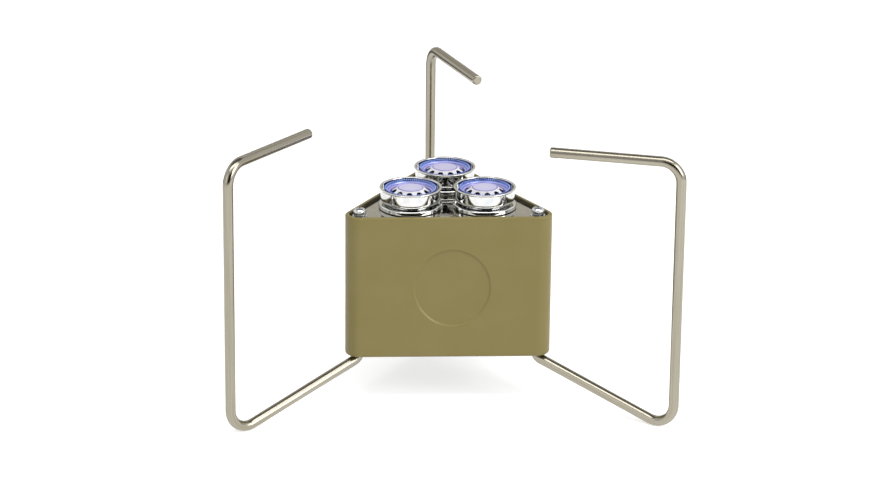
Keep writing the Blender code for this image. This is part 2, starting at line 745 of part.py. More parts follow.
def make_jet(station, anchor, parts, brass):
    """Jet that screws into the distributor, with a fine bore along it."""
    seat = BLOCK_TOP + JET_SEAT_HEIGHT + SEAT_GAP
    bore, thread = JET_BORE / 2, JET_THREAD_DIAMETER / 2 - SEAT_GAP
    shoulder, tip = seat + JET_HEIGHT, seat + JET_HEIGHT + JET_TIP_HEIGHT
    profile = [
        (JET_TIP_DIAMETER / 2, tip),
        (JET_TIP_DIAMETER / 2, shoulder),
        (JET_DIAMETER / 2, shoulder),
        (JET_DIAMETER / 2, seat),
        (thread, seat),
        (thread, seat - JET_THREAD_LENGTH),
        (bore, seat - JET_THREAD_LENGTH),
        (bore, tip),
    ]
    finish(turned(f"jet_{station}", profile, parts, SMALL_SIDES), brass, anchor)


def make_distributor(parts, tools, brass):
    """Three-armed block that carries the jets and spreads the gas from the feed pipe."""
    low, high = SUPPLY_HEIGHT - BLOCK_HEIGHT / 2, BLOCK_TOP
    block = turned("gas_distributor", cylinder(HUB_DIAMETER / 2, low, high), parts, LARGE_SIDES)
    half = ARM_WIDTH / 2
    thread_low = BLOCK_TOP + JET_SEAT_HEIGHT - JET_THREAD_LENGTH - SEAT_GAP
    for station, angle in STATIONS.items():
        bar = [(0, -half), (BURNER_RADIUS, -half), (BURNER_RADIUS, half), (0, half)]
        arm = slab(f"arm_{station}", [bar], low + SEAT_GAP, high - SEAT_GAP, tools)
        arm.rotation_euler.z = angle
        shape_with(block, arm, "UNION")
        pad, seat = PAD_DIAMETER / 2, JET_SEAT_DIAMETER / 2
        top = high + JET_SEAT_HEIGHT
        profile = [(0, top), (seat, top), (seat, high), (pad, high), (pad, low), (0, low)]
        post = place(turned(f"pad_{station}", profile, tools), burner_location(station))
        shape_with(block, post, "UNION")
        tap = cylinder(JET_THREAD_DIAMETER / 2, thread_low, top + OVERCUT)
        hole = turned(f"jet_tap_{station}", tap, tools, SMALL_SIDES)
        shape_with(block, place(hole, burner_location(station)))
    hub = HUB_DIAMETER / 2
    gallery = cylinder(FEED_DIAMETER / 2 + SEAT_GAP, hub - GALLERY_DEPTH, hub + OVERCUT)
    shape_with(block, place_on_inlet(turned("feed_socket", gallery, tools, SMALL_SIDES), 0))
    finish(block, brass)


def make_inlet(parts, tools, brass, steel, polymer):
    """Feed pipe, threaded inlet through the rear wall, and the washer and nut that clamp it."""
    bore, mouth = FEED_DIAMETER / 2 + SEAT_GAP, FEED_BORE / 2
    thread, hexed = INLET_THREAD_DIAMETER / 2, INLET_HEX / 2
    face = SEAT_GAP + INLET_WASHER + SEAT_GAP
    stub = face + INLET_HEX_HEIGHT + INLET_STUB_LENGTH
    inner = -WALL - INLET_INNER_LENGTH
    seat = inner + FEED_SOCKET_DEPTH
    shank = [(0, stub), (thread - INLET_CHAMFER, stub), (thread, stub - INLET_CHAMFER)]
    shank += [(thread, inner), (0, inner)]
    body = turned("inlet_fitting", shank, parts, LARGE_SIDES)
    collar = slab("inlet_collar", [hexagon(INLET_HEX)], face, face + INLET_HEX_HEIGHT, tools)
    passage = [(0, stub + OVERCUT), (mouth, stub + OVERCUT), (mouth, seat), (bore, seat)]
    passage += [(bore, inner - OVERCUT), (0, inner - OVERCUT)]
    drill = turned("inlet_passage", passage, tools)
    shape_with(body, collar, "UNION")
    shape_with(body, drill)
    collar.parent = drill.parent = body
    finish(place_on_inlet(body, WALL_DISTANCE), brass)

    seal = ring_profile(hexed, thread + SEAT_GAP, SEAT_GAP, SEAT_GAP + INLET_WASHER)
    washer = turned("inlet_seal", seal, parts)
    finish(place_on_inlet(washer, WALL_DISTANCE), polymer)

    nut_high = -WALL - SEAT_GAP
    loops = [hexagon(INLET_HEX), circle(thread + SEAT_GAP)]
    nut = slab("inlet_nut", loops, nut_high - INLET_NUT_HEIGHT, nut_high, parts)
    finish(place_on_inlet(nut, WALL_DISTANCE), steel)

    start = HUB_DIAMETER / 2 - GALLERY_DEPTH + SEAT_GAP
    end = WALL_DISTANCE + seat - SEAT_GAP
    pipe = ring_profile(FEED_DIAMETER / 2, mouth, start, end)
    finish(place_on_inlet(turned("feed_pipe", pipe, parts, SMALL_SIDES), 0), brass)


def main():
    clear_scene()
    parts = new_collection("camping_stove")
    tools = new_collection("cutters")
    olive = new_material("olive powder coat", "8D8154", 0.45, 0.0)
    mirror = new_material("mirror-polished steel", "C9C5BC", 0.06, 1.0)
    chrome = new_material("chromed brass", "DCDCDC", 0.08, 1.0)
    satin = new_material("satin stainless rod", "B9B4A5", 0.28, 1.0)
    zinc = new_material("bright zinc", "C8C8C4", 0.2, 1.0)
    ring = new_material("heat-tinted steel", "8F8FC0", 0.3, 1.0)
    cap = new_material("heat-tinted cap", "C9C3DC", 0.25, 1.0)
    brass = new_material("brass", "B59A55", 0.3, 1.0)
    dark = new_material("black painted steel", "2B2B2A", 0.5, 0.0)
    polymer = new_material("black PTFE", "202020", 0.6, 0.0)

    make_housing(parts, tools, olive)
    make_plates(parts, tools, mirror, dark)
    make_closing_screws(parts, tools, zinc)
    make_distributor(parts, tools, brass)
    make_inlet(parts, tools, brass, zinc, polymer)
    for station, angle in STATIONS.items():
        pivot = new_anchor(f"pivot_{station}", pivot_location(station), angle, parts)
        make_leg(station, parts, tools, satin)
        make_pivot(station, pivot, parts, tools, zinc, polymer)
        burner = new_anchor(f"burner_{station}", burner_location(station), angle, parts)
        make_burner_base(station, burner, parts, chrome)
        make_burner_cup(station, burner, parts, chrome)
        make_flame_ring(station, burner, parts, tools, ring)
        make_burner_cap(station, burner, parts, tools, cap)
        make_burner_nut(station, burner, parts, zinc)
        make_mixing_tube(station, burner, parts, tools, brass)
        make_jet(station, burner, parts, brass)


if __name__ == "__main__":
    main()
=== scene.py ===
"""A three-burner folding camping stove, dressed for a studio photograph.

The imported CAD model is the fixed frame. Every node that the eye can reach gets a finer piece in its place,
which rides on the same body, and the nodes inside the casing keep their shape and get a better material.
Lengths are in metres. Fields and tables give angles in degrees, and functions take them in radians.
+Z is up, and the wall with the round recess faces -Y.
"""

from __future__ import annotations

import json
import logging
import math
from collections.abc import Callable, Iterable, Mapping, Sequence
from dataclasses import dataclass, field
from enum import Enum, IntEnum
from functools import reduce
from typing import Any, ClassVar

import bmesh
import bpy
from mathutils import Matrix, Vector
from mathutils.geometry import intersect_point_line

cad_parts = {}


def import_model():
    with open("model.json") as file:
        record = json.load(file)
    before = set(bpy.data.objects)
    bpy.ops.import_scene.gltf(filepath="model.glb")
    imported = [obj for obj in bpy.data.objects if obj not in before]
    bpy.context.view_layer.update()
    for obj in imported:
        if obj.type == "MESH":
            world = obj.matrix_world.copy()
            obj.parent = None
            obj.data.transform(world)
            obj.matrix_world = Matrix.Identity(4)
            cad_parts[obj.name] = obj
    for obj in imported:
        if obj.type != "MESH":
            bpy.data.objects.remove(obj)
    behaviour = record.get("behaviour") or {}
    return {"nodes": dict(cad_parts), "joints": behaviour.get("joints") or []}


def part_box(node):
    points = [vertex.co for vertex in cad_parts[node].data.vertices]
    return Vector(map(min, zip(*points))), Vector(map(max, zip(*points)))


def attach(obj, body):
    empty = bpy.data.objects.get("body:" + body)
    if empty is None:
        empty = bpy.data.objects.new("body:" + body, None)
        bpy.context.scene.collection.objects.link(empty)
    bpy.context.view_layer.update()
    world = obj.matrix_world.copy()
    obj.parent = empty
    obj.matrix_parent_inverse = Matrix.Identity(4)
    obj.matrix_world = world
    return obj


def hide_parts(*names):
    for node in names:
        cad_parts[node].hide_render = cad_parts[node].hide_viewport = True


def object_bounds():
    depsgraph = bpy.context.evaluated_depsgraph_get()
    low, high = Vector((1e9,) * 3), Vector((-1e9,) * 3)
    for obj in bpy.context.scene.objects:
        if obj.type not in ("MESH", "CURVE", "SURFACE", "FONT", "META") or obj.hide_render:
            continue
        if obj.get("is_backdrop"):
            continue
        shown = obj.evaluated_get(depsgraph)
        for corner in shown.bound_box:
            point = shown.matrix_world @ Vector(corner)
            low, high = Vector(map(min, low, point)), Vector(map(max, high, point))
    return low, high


log = logging.getLogger("stove")

FULL_TURN = 2 * math.pi
# From one of the casing's corners, or one of its walls, to the next.
THIRD = FULL_TURN / 3
# How many chords a fillet has where a piece doesn't ask for more or fewer.
FILLET_STEPS = 4
# Points nearer to each other than this are one point.
MERGE = 1e-7
# Between a piece and its seat, as in the CAD model.
SEAT_GAP = 0.0003
# How far a tool runs past what it cuts.
OVERCUT = 0.002
# The side of the casing that the gas inlet is on.
INLET_ANGLE = math.radians(30)
# The CAD body of everything that doesn't fold.
BODY = "stove_body"

Shape = bmesh.types.BMesh
# Radius and height of a corner of a turned profile, and its fillet where it is rounded.
Corner = tuple[float, ...]


class Station(Enum):
    """The casing's three corners. Each value is the corner's direction in degrees, seen from above."""

    LEFT = 210
    RIGHT = 330
    REAR = 90

    @property
    def key(self) -> str:
        """The corner's word in the names of CAD nodes and bodies."""
        return self.name.lower()

    @property
    def angle(self) -> float:
        """The corner's direction in radians."""
        return math.radians(self.value)


# How far each leg of the photographed stove is turned away from its corner's direction.
LEG_TURNS = {Station.LEFT: 5.4, Station.RIGHT: -3.2, Station.REAR: 2.1}


class Cut(Enum):
    """What a tool does to a shape."""

    REMOVE = "DIFFERENCE"
    JOIN = "UNION"
    KEEP_COMMON = "INTERSECT"


class Sides(IntEnum):
    """How many sides a turned form has, by its size in the picture."""

    HEXAGON = 6
    TINY = 24
    SMALL = 32
    MEDIUM = 48
    LARGE = 64
    BROAD = 96


def linear(code: str) -> tuple[float, float, float, float]:
    """Turns an sRGB hex colour into the linear colour that a shader takes.

    Args:
        code: Six hex digits, such as "8D8154".

    Returns:
        Linear red, green and blue, and an alpha of 1.
    """
    parts = [int(code[i : i + 2], 16) / 255 for i in (0, 2, 4)]
    red, green, blue = (c / 12.92 if c <= 0.04045 else ((c + 0.055) / 1.055) ** 2.4 for c in parts)
    return red, green, blue, 1.0


def socket_of(sockets: Any, name: int | str) -> Any:
    """Finds a socket of a node.

    Args:
        sockets: The node's inputs or outputs.
        name: The socket's index, or its name.

    Returns:
        The socket. Where a node holds several of one name, it is the one in use.
    """
    if isinstance(name, int):
        return sockets[name]
    return next(s for s in sockets if s.name == name and s.enabled)


def add_node(
    material: Any,
    kind: str,
    settings: Mapping[int | str, Any] | None = None,
    links: Mapping[int | str, Any] | None = None,
    stops: Sequence[tuple[float, str]] = (),
) -> Any:
    """Adds a shader node with its settings and links.

    Args:
        material: The material, or the world, whose node tree takes the node.
        kind: The node's Blender type.
        settings: Values by the name of a property of the node, or else by the name or index of an input.
        links: Output sockets by the name or index of the input that each goes to.
        stops: Positions and hex colours, for a colour ramp.

    Returns:
        The new node.
    """
    tree = material.node_tree
    node = tree.nodes.new(kind)
    for name, value in (settings or {}).items():
        if isinstance(name, str) and name in node.bl_rna.properties:
            setattr(node, name, value)
        else:
            socket_of(node.inputs, name).default_value = value
    for name, source in (links or {}).items():
        tree.links.new(source, socket_of(node.inputs, name))
    if stops:
        elements = node.color_ramp.elements
        while len(elements) < len(stops):
            elements.new(1.0)
        for element, (position, code) in zip(elements, stops):
            element.position = position
            element.color = linear(code)
    return node


def emptied(owner: Any) -> Any:
    """Gives a new material or world an empty node tree.

    Args:
        owner: The material or the world.

    Returns:
        The same material or world.
    """
    owner.use_nodes = True
    owner.node_tree.nodes.clear()
    return owner


@dataclass(frozen=True)
class Grain:
    """Unevenness of one size in a surface. More detail breaks each feature up more."""

    width_mm: float
    detail: float

    def settings(self) -> dict[str, float]:
        """The settings of a noise texture, in metres, in which one feature is this wide."""
        return {"Scale": 1000 / self.width_mm, "Detail": self.detail}


@dataclass(frozen=True)
class Finish:
    """A surface finish, whose shade, gloss and skin each follow a grain. Each kind below sets its own.

    The grains use the middle of a noise's range, from calm to full, because values near 0 and 1 are rare.
    The gloss swing is added to the roughness at these two ends.
    """

    slot: str
    title: str
    colour: str
    roughness: float
    metallic: float = 0.0
    shade: str = ""
    shade_grain: Grain = Grain(5.0, 3.0)
    gloss_grain: Grain = Grain(5.0, 3.0)
    gloss_swing: tuple[float, float] = (0.0, 0.0)
    skin_grain: Grain | None = None
    skin_depth: float = 0.0
    skin_strength: float = 0.5
    calm: ClassVar[float] = 0.3
    full: ClassVar[float] = 0.7

    def build(self) -> bpy.types.Material:
        """Makes the material.

        Returns:
            The material, with a Principled shader that the grains feed.
        """
        material = emptied(bpy.data.materials.new(self.title))
        place = {"Vector": self.place(material)}
        grains = (self.shade_grain, self.gloss_grain, self.skin_grain)
        noise = {
            grain: add_node(material, "ShaderNodeTexNoise", grain.settings(), place).outputs["Fac"]
            for grain in dict.fromkeys(grain for grain in grains if grain)
        }
        swing = self.spread(*(self.roughness + change for change in self.gloss_swing))
        gloss = add_node(material, "ShaderNodeMapRange", swing, {"Value": noise[self.gloss_grain]})
        links = {
            "Base Color": self.tint(material, noise[self.shade_grain]),
            "Roughness": gloss.outputs["Result"],
        }
        if self.skin_grain:
            depth = {"Distance": self.skin_depth, "Strength": self.skin_strength}
            skin = add_node(material, "ShaderNodeBump", depth, {"Height": noise[self.skin_grain]})
            links["Normal"] = skin.outputs["Normal"]
        settings = {
            "Base Color": linear(self.colour),
            "Roughness": self.roughness,
            "Metallic": self.metallic,
        }
        shader = add_node(material, "ShaderNodeBsdfPrincipled", settings, links)
        add_node(material, "ShaderNodeOutputMaterial", links={"Surface": shader.outputs["BSDF"]})
        return material

    def spread(self, low: float, high: float) -> dict[str, float]:
        """Settings that map the middle of a noise's range onto two values."""
        return {"From Min": self.calm, "From Max": self.full, "To Min": low, "To Max": high}

    def place(self, material: bpy.types.Material) -> Any:
        """The coordinates that the grains lie in."""
        return add_node(material, "ShaderNodeTexCoord").outputs["Object"]

    def tint(self, material: bpy.types.Material, cloud: Any) -> Any:
        """The colour, which drifts with a noise's value from the finish's own towards its shade."""
        stops = ((self.calm, self.colour), (self.full, self.shade))
        return add_node(material, "ShaderNodeValToRGB", links={"Fac": cloud}, stops=stops).outputs["Color"]


@dataclass(frozen=True)
class PowderCoat(Finish):
    """Polyester powder, sprayed and baked on the aluminium: a satin skin with orange peel and faint clouds.

    Real orange peel swells every 1 to 2 mm by some 10 micrometres. It is drawn at that size, a little
    deeper, so that it shows as a slight unrest in the sheen. On the inner walls, which an attribute
    marks, the colour turns darker: painted shade, for the shade that falls inside the casing.
    """

    shade: str = "7F733C"
    shade_grain: Grain = Grain(14.0, 3.0)
    gloss_grain: Grain = Grain(1.2, 1.0)
    gloss_swing: tuple[float, float] = (-0.04, 0.04)
    skin_grain: Grain | None = Grain(1.2, 1.0)
    skin_depth: float = 0.00002
    # Painted shade: the darker colour that the inner walls take.
    thin: str = "4A4630"

    def tint(self, material: bpy.types.Material, cloud: Any) -> Any:
        """Adds the coat's colour.

        Args:
            material: The material that is made.
            cloud: The noise's value that the shade drifts with.

        Returns:
            The colour's socket, which turns to a darker colour of painted shade on the inner walls.
        """
        unshaded_colour = super().tint(material, cloud)
        # The mask of the painted shade on the inner walls, and the mix that darkens them with it.
        reach = add_node(material, "ShaderNodeAttribute", {"attribute_name": "thin_coat"}).outputs["Fac"]
        inside = {"data_type": "RGBA", "B": linear(self.thin)}
        coat = add_node(material, "ShaderNodeMix", inside, {"Factor": reach, "A": unshaded_colour})
        return socket_of(coat.outputs, "Result")


@dataclass(frozen=True)
class MirrorSteel(Finish):
    """Stainless sheet, buffed to a mirror: sharp reflections that waver a little, with a trace of haze."""

    shade: str = "AEAAA0"
    shade_grain: Grain = Grain(5.0, 5.0)
    gloss_grain: Grain = Grain(5.0, 5.0)
    gloss_swing: tuple[float, float] = (0.0, 0.05)
    skin_grain: Grain | None = Grain(22.0, 1.0)
    skin_depth: float = 0.00001
    skin_strength: float = 1.0


@dataclass(frozen=True)
class ChromePlate(Finish):
    """Chrome over nickel on spun metal: the brightest mirror here, with the faint marks of fingers."""

    shade: str = "C9CBCE"
    shade_grain: Grain = Grain(4.0, 4.0)
    gloss_grain: Grain = Grain(4.0, 4.0)
    gloss_swing: tuple[float, float] = (0.0, 0.07)


@dataclass(frozen=True)
class ZincPlate(Finish):
    """Bright zinc on steel screws and washers: softer than chrome, with the fine bloom of its bath."""

    shade: str = "BFC1C4"
    shade_grain: Grain = Grain(0.8, 4.0)
    gloss_grain: Grain = Grain(0.8, 4.0)
    gloss_swing: tuple[float, float] = (0.0, 0.12)


@dataclass(frozen=True)
class DrawnRod(Finish):
    """Drawn steel rod with a satin nickel finish: soft lines along the rod, which the bends carry round.

    The lines read the attribute "straight", which holds where each point lay before the rod was bent. Real
    draw lines are some 0.05 mm apart. They are drawn at 0.6 mm, which is as fine as the render shows.
    """

    shade: str = "928C7C"
    shade_grain: Grain = Grain(0.6, 2.0)
    gloss_grain: Grain = Grain(6.0, 2.0)
    gloss_swing: tuple[float, float] = (-0.04, 0.06)
    skin_grain: Grain | None = Grain(0.6, 2.0)
    skin_depth: float = 0.000008
    line_length_mm: float = 40.0

    def place(self, material: bpy.types.Material) -> Any:
        """Adds the coordinates that the lines lie in.

        Args:
            material: The material that is made.

        Returns:
            The socket of the place on the straight rod, squeezed so that the grain is drawn out along it.
        """
        straight = add_node(material, "ShaderNodeAttribute", {"attribute_name": "straight"})
        squeeze = {"Scale": (1.0, 1.0, self.shade_grain.width_mm / self.line_length_mm)}
        drawn = add_node(material, "ShaderNodeMapping", squeeze, {"Vector": straight.outputs["Vector"]})
        return drawn.outputs["Vector"]


@dataclass(frozen=True)
class HeatTint(Finish):
    """Steel that the flame has coloured: rings of oxide tint, from lavender through violet to blue, and
    painted light.

    The rings read the attribute "outward", which is 0 at the burner's middle and 1 at its ring's outer
    edge. They stray from a true circle by the drift, a share of that radius. Their near-white and pale
    blue rings are painted highlights and a painted glow of flames, which the scene leaves out, and
    their near-black ones are painted shade.
    """

    shade_grain: Grain = Grain(3.0, 3.0)
    gloss_grain: Grain = Grain(3.0, 3.0)
    gloss_swing: tuple[float, float] = (-0.04, 0.06)
    bands: tuple[tuple[float, str], ...] = ()
    drift: float = 0.008

    def tint(self, material: bpy.types.Material, cloud: Any) -> Any:
        """Adds the rings of colour.

        Args:
            material: The material that is made.
            cloud: The noise's value that the rings stray with.

        Returns:
            The colour's socket.
        """
        outward = add_node(material, "ShaderNodeAttribute", {"attribute_name": "outward"}).outputs["Fac"]
        drift = self.spread(-self.drift, self.drift)
        sway = add_node(material, "ShaderNodeMapRange", drift, {"Value": cloud})
        terms = {0: outward, 1: sway.outputs["Result"]}
        strayed = add_node(material, "ShaderNodeMath", {"operation": "ADD"}, terms).outputs["Value"]
        rings = add_node(material, "ShaderNodeValToRGB", links={"Fac": strayed}, stops=self.bands)
        return rings.outputs["Color"]


@dataclass(frozen=True)
class TurnedBrass(Finish):
    """Brass, turned on a lathe and left bare: warm metal with a fine grain and a slightly dulled skin.

    Real turning marks are some 0.1 mm apart. The grain is drawn at 0.3 mm, so that it shows.
    """

    shade: str = "A08548"
    gloss_swing: tuple[float, float] = (0.0, 0.15)
    skin_grain: Grain | None = Grain(0.3, 2.0)
    skin_depth: float = 0.00001
    skin_strength: float = 0.3


@dataclass(frozen=True)
class StovingPaint(Finish):
    """Black paint, baked on steel sheet: dull, with a fine pimpled skin."""

    shade: str = "313130"
    shade_grain: Grain = Grain(9.0, 3.0)
    gloss_grain: Grain = Grain(0.5, 1.0)
    gloss_swing: tuple[float, float] = (-0.06, 0.08)
    skin_grain: Grain | None = Grain(0.5, 1.0)
    skin_depth: float = 0.00003
    skin_strength: float = 0.4


@dataclass(frozen=True)
class MouldedBlack(StovingPaint):
    """Black PTFE, pressed and sintered: as dull as the paint, with a finer skin."""

    shade: str = "262626"
    gloss_grain: Grain = Grain(0.3, 1.0)
    skin_grain: Grain | None = Grain(0.3, 1.0)


# Rings of colour from the middle of a burner outwards. The cap ends at 0.71, and its hollow reads 1.
# Among the lavender, violet and blue of oxide tint, the near-white and pale blue rings are painted
# highlights and a painted glow of flames, and the near-black of the cap's hollow is painted shade.
CAP_TINT_AND_LIGHT = (
    (0.0, "DCDAF8"),
    (0.43, "D4D0F6"),
    (0.47, "7B6CC0"),
    # Painted highlight: the cap's near-white skirt.
    (0.5, "F2F1F8"),
    (0.66, "F6F6FA"),
    (0.71, "C5C8EA"),
    # Painted shade: the near-black of the cap's hollow and ports.
    (0.8, "2E2A66"),
    (1.0, "1B1838"),
)
RING_TINT_AND_LIGHT = (
    (0.745, "5447B4"),
    (0.775, "7468CC"),
    # Painted highlights and glow: the near-white and pale blue rings.
    (0.795, "E6E4FC"),
    (0.83, "B9B6F0"),
    (0.85, "5A50BC"),
    (0.88, "CCD4FC"),
    (0.915, "6E78D8"),
    (0.94, "C2E4FF"),
    (0.965, "5C66CC"),
    (1.0, "4A50B8"),
)

FINISHES: tuple[Finish, ...] = (
    # The casing's own green-brown, as the evenly lit wall shows it.
    PowderCoat("olive_coat", "olive powder coat", "827642", 0.42),
    # Steel is a warmer and darker mirror than chrome.
    MirrorSteel("polished_steel", "mirror-buffed stainless steel", "B9B6AD", 0.03, 1.0),
    # The burners' feet and bowls.
    ChromePlate("chrome", "chrome plate", "DEDDD8", 0.05, 1.0),
    # The legs: duller than the burners, and a little yellow.
    DrawnRod("satin_rod", "satin nickel rod", "A09B8E", 0.2, 1.0),
    ZincPlate("bright_zinc", "bright zinc plate", "DCDDDF", 0.14, 1.0),
    # Oxide on thin steel is partly a coat of colour, so these two are less than a full metal.
    # Their rings of tint also carry painted highlights, a painted glow of flames and painted shade.
    HeatTint("tinted_ring", "heat-tinted ring steel", "8F8FC0", 0.3, 0.6, bands=RING_TINT_AND_LIGHT),
    HeatTint("tinted_cap", "heat-tinted cap steel", "C9C3DC", 0.34, 0.4, bands=CAP_TINT_AND_LIGHT),
    # The gas works and the inlet.
    TurnedBrass("brass", "turned brass", "B59A55", 0.25, 1.0),
    # The floor under the casing.
    StovingPaint("black_coat", "black stoving paint", "2B2B2A", 0.45),
    # Bushes and seal.
    MouldedBlack("polymer", "black PTFE", "202020", 0.55),
)


def polar(radius: float, angle: float, height: float = 0.0) -> Vector:
    """The point at this radius, angle and height."""
    return Vector((radius * math.cos(angle), radius * math.sin(angle), height))


def turn_about_z(angle: float) -> Matrix:
    """A turn about the vertical axis, as a 4x4 matrix."""
    return Matrix.Rotation(angle, 4, "Z")


def arc(angle: float, steps: int) -> list[float]:
    """Angles from 0 to this one, in equal steps."""
    return [angle * step / steps for step in range(steps + 1)]


def quarter(radius: float, steps: int) -> list[tuple[float, float]]:
    """Points of a quarter circle, each as its distances from the two lines that the quarter joins."""
    turns = arc(math.pi / 2, steps)
    return [(radius * (1 - math.cos(turn)), radius * (1 - math.sin(turn))) for turn in turns]


def bend(
    before: Vector, corner: Vector, after: Vector, radius: float, steps: int
) -> list[tuple[Vector, Vector]]:
    """Rounds one corner of a line.

    Args:
        before: A point on the line ahead of the corner.
        corner: The corner.
        after: A point on the line past the corner.
        radius: Radius of the bend.
        steps: How many chords the bend has.

    Returns:
        Points round the bend, each with the direction of the line there.
    """
    back, ahead = (before - corner).normalized(), (after - corner).normalized()
    half = back.angle(ahead) / 2
    centre = corner + (back + ahead).normalized() * radius / math.sin(half)
    arm = corner + back * radius / math.tan(half) - centre
    axis = back.cross(ahead).normalized()
    turns = [Matrix.Rotation(angle, 3, axis) for angle in arc(-(math.pi - 2 * half), steps)]
    return [(centre + turn @ arm, turn @ -back) for turn in turns]


def rounded(corners: Sequence[Corner], steps: int, closed: bool) -> list[Vector]:
    """Rounds the corners of a profile that have a fillet.

    Args:
        corners: The profile's corners, in order.
        steps: How many chords each fillet has.
        closed: Whether the last corner is joined to the first. The ends of an open profile stay sharp.

    Returns:
        Points in the XZ plane.
    """
    places = [Vector((x, 0, z)) for x, z, *_ in corners]
    points: list[Vector] = []
    for index, (here, (_, _, *fillet)) in enumerate(zip(places, corners)):
        if any(fillet) and (closed or 0 < index < len(places) - 1):
            before, after = places[index - 1], places[(index + 1) % len(places)]
            points += [point for point, _ in bend(before, here, after, fillet[0], steps)]
        else:
            points.append(here)
    return points


def add_loop(shape: Shape, points: Iterable[Vector], closed: bool = True) -> list[Any]:
    """Adds points to a shape, joined by edges.

    Args:
        shape: The shape that takes them.
        points: The points, in order.
        closed: Whether the last point is joined to the first.

    Returns:
        The new edges.
    """
    verts = [shape.verts.new(point) for point in points]
    ends = verts[1:] + verts[:1] if closed else verts[1:]
    return [shape.edges.new(pair) for pair in zip(verts, ends)]


def cleaned(shape: Shape) -> Shape:
    """Joins doubled points and turns every face outwards.

    Args:
        shape: The shape that is worked on.

    Returns:
        The same shape.
    """
    bmesh.ops.remove_doubles(shape, verts=shape.verts[:], dist=MERGE)
    bmesh.ops.recalc_face_normals(shape, faces=shape.faces[:])
    return shape


def revolve(
    corners: Sequence[Corner], sides: int, steps: int = FILLET_STEPS, closed: bool = True
) -> Shape:
    """Spins a profile once round the Z axis.

    Args:
        corners: The profile's corners, in order.
        sides: How many steps the turn has.
        steps: How many chords each fillet has.
        closed: Whether the last corner is joined to the first.

    Returns:
        The turned shape, closed where the profile is closed or starts and ends on the axis.
    """
    shape = bmesh.new()
    edges = add_loop(shape, rounded(corners, steps, closed), closed)
    bmesh.ops.spin(
        shape,
        geom=shape.verts[:] + edges,
        cent=(0, 0, 0),
        axis=(0, 0, 1),
        angle=FULL_TURN,
        steps=sides,
        use_merge=True,
    )
    return cleaned(shape)


def prism(loops: Iterable[Iterable[Vector]], low: float, high: float) -> Shape:
    """Fills an outline and the holes inside it, and raises the face between two heights.

    Args:
        loops: The outline and its holes, each a list of points.
        low: Height of the lower face.
        high: Height of the upper face.

    Returns:
        The closed slab.
    """
    shape = bmesh.new()
    edges = [edge for loop in loops for edge in add_loop(shape, (Vector((p.x, p.y, low)) for p in loop))]
    bmesh.ops.triangle_fill(shape, edges=edges, use_beauty=True, use_dissolve=False)
    raised = bmesh.ops.extrude_face_region(shape, geom=shape.faces[:])
    top = [part for part in raised["geom"] if isinstance(part, bmesh.types.BMVert)]
    bmesh.ops.translate(shape, verts=top, vec=(0, 0, high - low))
    return cleaned(shape)


def loft(loops: Sequence[Sequence[Vector]]) -> Shape:
    """Bridges loops of equal count from the first to the last, and closes both ends.

    Args:
        loops: Loops of points, from one end of the shape to the other.

    Returns:
        The closed shape.
    """
    shape = bmesh.new()
    rings = [add_loop(shape, loop) for loop in loops]
    for ring, following in zip(rings, rings[1:]):
        bmesh.ops.bridge_loops(shape, edges=ring + following)
    for ring in (rings[0], rings[-1]):
        bmesh.ops.contextual_create(shape, geom=ring)
    return cleaned(shape)


def circle(radius: float, sides: int, centre: Vector | None = None) -> list[Vector]:
    """Points of a circle about a centre, or of a regular polygon with few sides."""
    middle = centre or Vector()
    return [middle + polar(radius, FULL_TURN * i / sides) for i in range(sides)]


def pegs(centres: Iterable[Vector], radius: float, sides: int, low: float, high: float) -> list[Shape]:
    """An upright round peg at each of these centres, between two heights."""
    return [prism([circle(radius, sides, centre)], low, high) for centre in centres]


def edges_among(verts: Sequence[Any]) -> list[Any]:
    """The edges that join these points to one another."""
    found = (edge for vert in verts for edge in vert.link_edges if edge.other_vert(vert) in verts)
    return list(dict.fromkeys(found))


def moved(shape: Shape, matrix: Matrix) -> Shape:
    """Moves a whole shape by a matrix, and returns it."""
    bmesh.ops.transform(shape, matrix=matrix, verts=shape.verts[:])
    return shape


def repeated(shape: Shape, count: int) -> Shape:
    """Repeats a shape evenly round the Z axis.

    Args:
        shape: The shape at its first place.
        count: How many there are in all.

    Returns:
        The same shape, with all the copies in it.
    """
    bmesh.ops.spin(
        shape,
        geom=shape.verts[:] + shape.edges[:] + shape.faces[:],
        cent=(0, 0, 0),
        axis=(0, 0, 1),
        angle=FULL_TURN * (count - 1) / count,
        steps=count - 1,
        use_duplicate=True,
    )
    return shape


def as_object(shape: Shape, name: str) -> bpy.types.Object:
    """Makes an object of a shape and links it to the scene.

    Args:
        shape: The shape. It is freed.
        name: The name of the object and its mesh.

    Returns:
        The new object.
    """
    mesh = bpy.data.meshes.new(name)
    shape.to_mesh(mesh)
    shape.free()
    obj = bpy.data.objects.new(name, mesh)
    bpy.context.scene.collection.objects.link(obj)
    return obj


def carve(shape: Shape, tool: Shape, cut: Cut = Cut.REMOVE) -> Shape:
    """Cuts a shape with a tool, or joins the two.

    Args:
        shape: The shape that is worked on. It is freed.
        tool: The closed tool. It is freed.
        cut: What the tool does.

    Returns:
        A new shape of the result.
    """
    work, cutter = as_object(shape, "work"), as_object(tool, "tool")
    modifier = work.modifiers.new("cut", "BOOLEAN")
    modifier.object = cutter
    modifier.operation = cut.value
    modifier.solver = "EXACT"
    graph = bpy.context.evaluated_depsgraph_get()
    mesh = bpy.data.meshes.new_from_object(work.evaluated_get(graph), depsgraph=graph)
    result = bmesh.new()
    result.from_mesh(mesh)
    for obj in (work, cutter):
        used = obj.data
        bpy.data.objects.remove(obj)
        bpy.data.meshes.remove(used)
    bpy.data.meshes.remove(mesh)
    return result


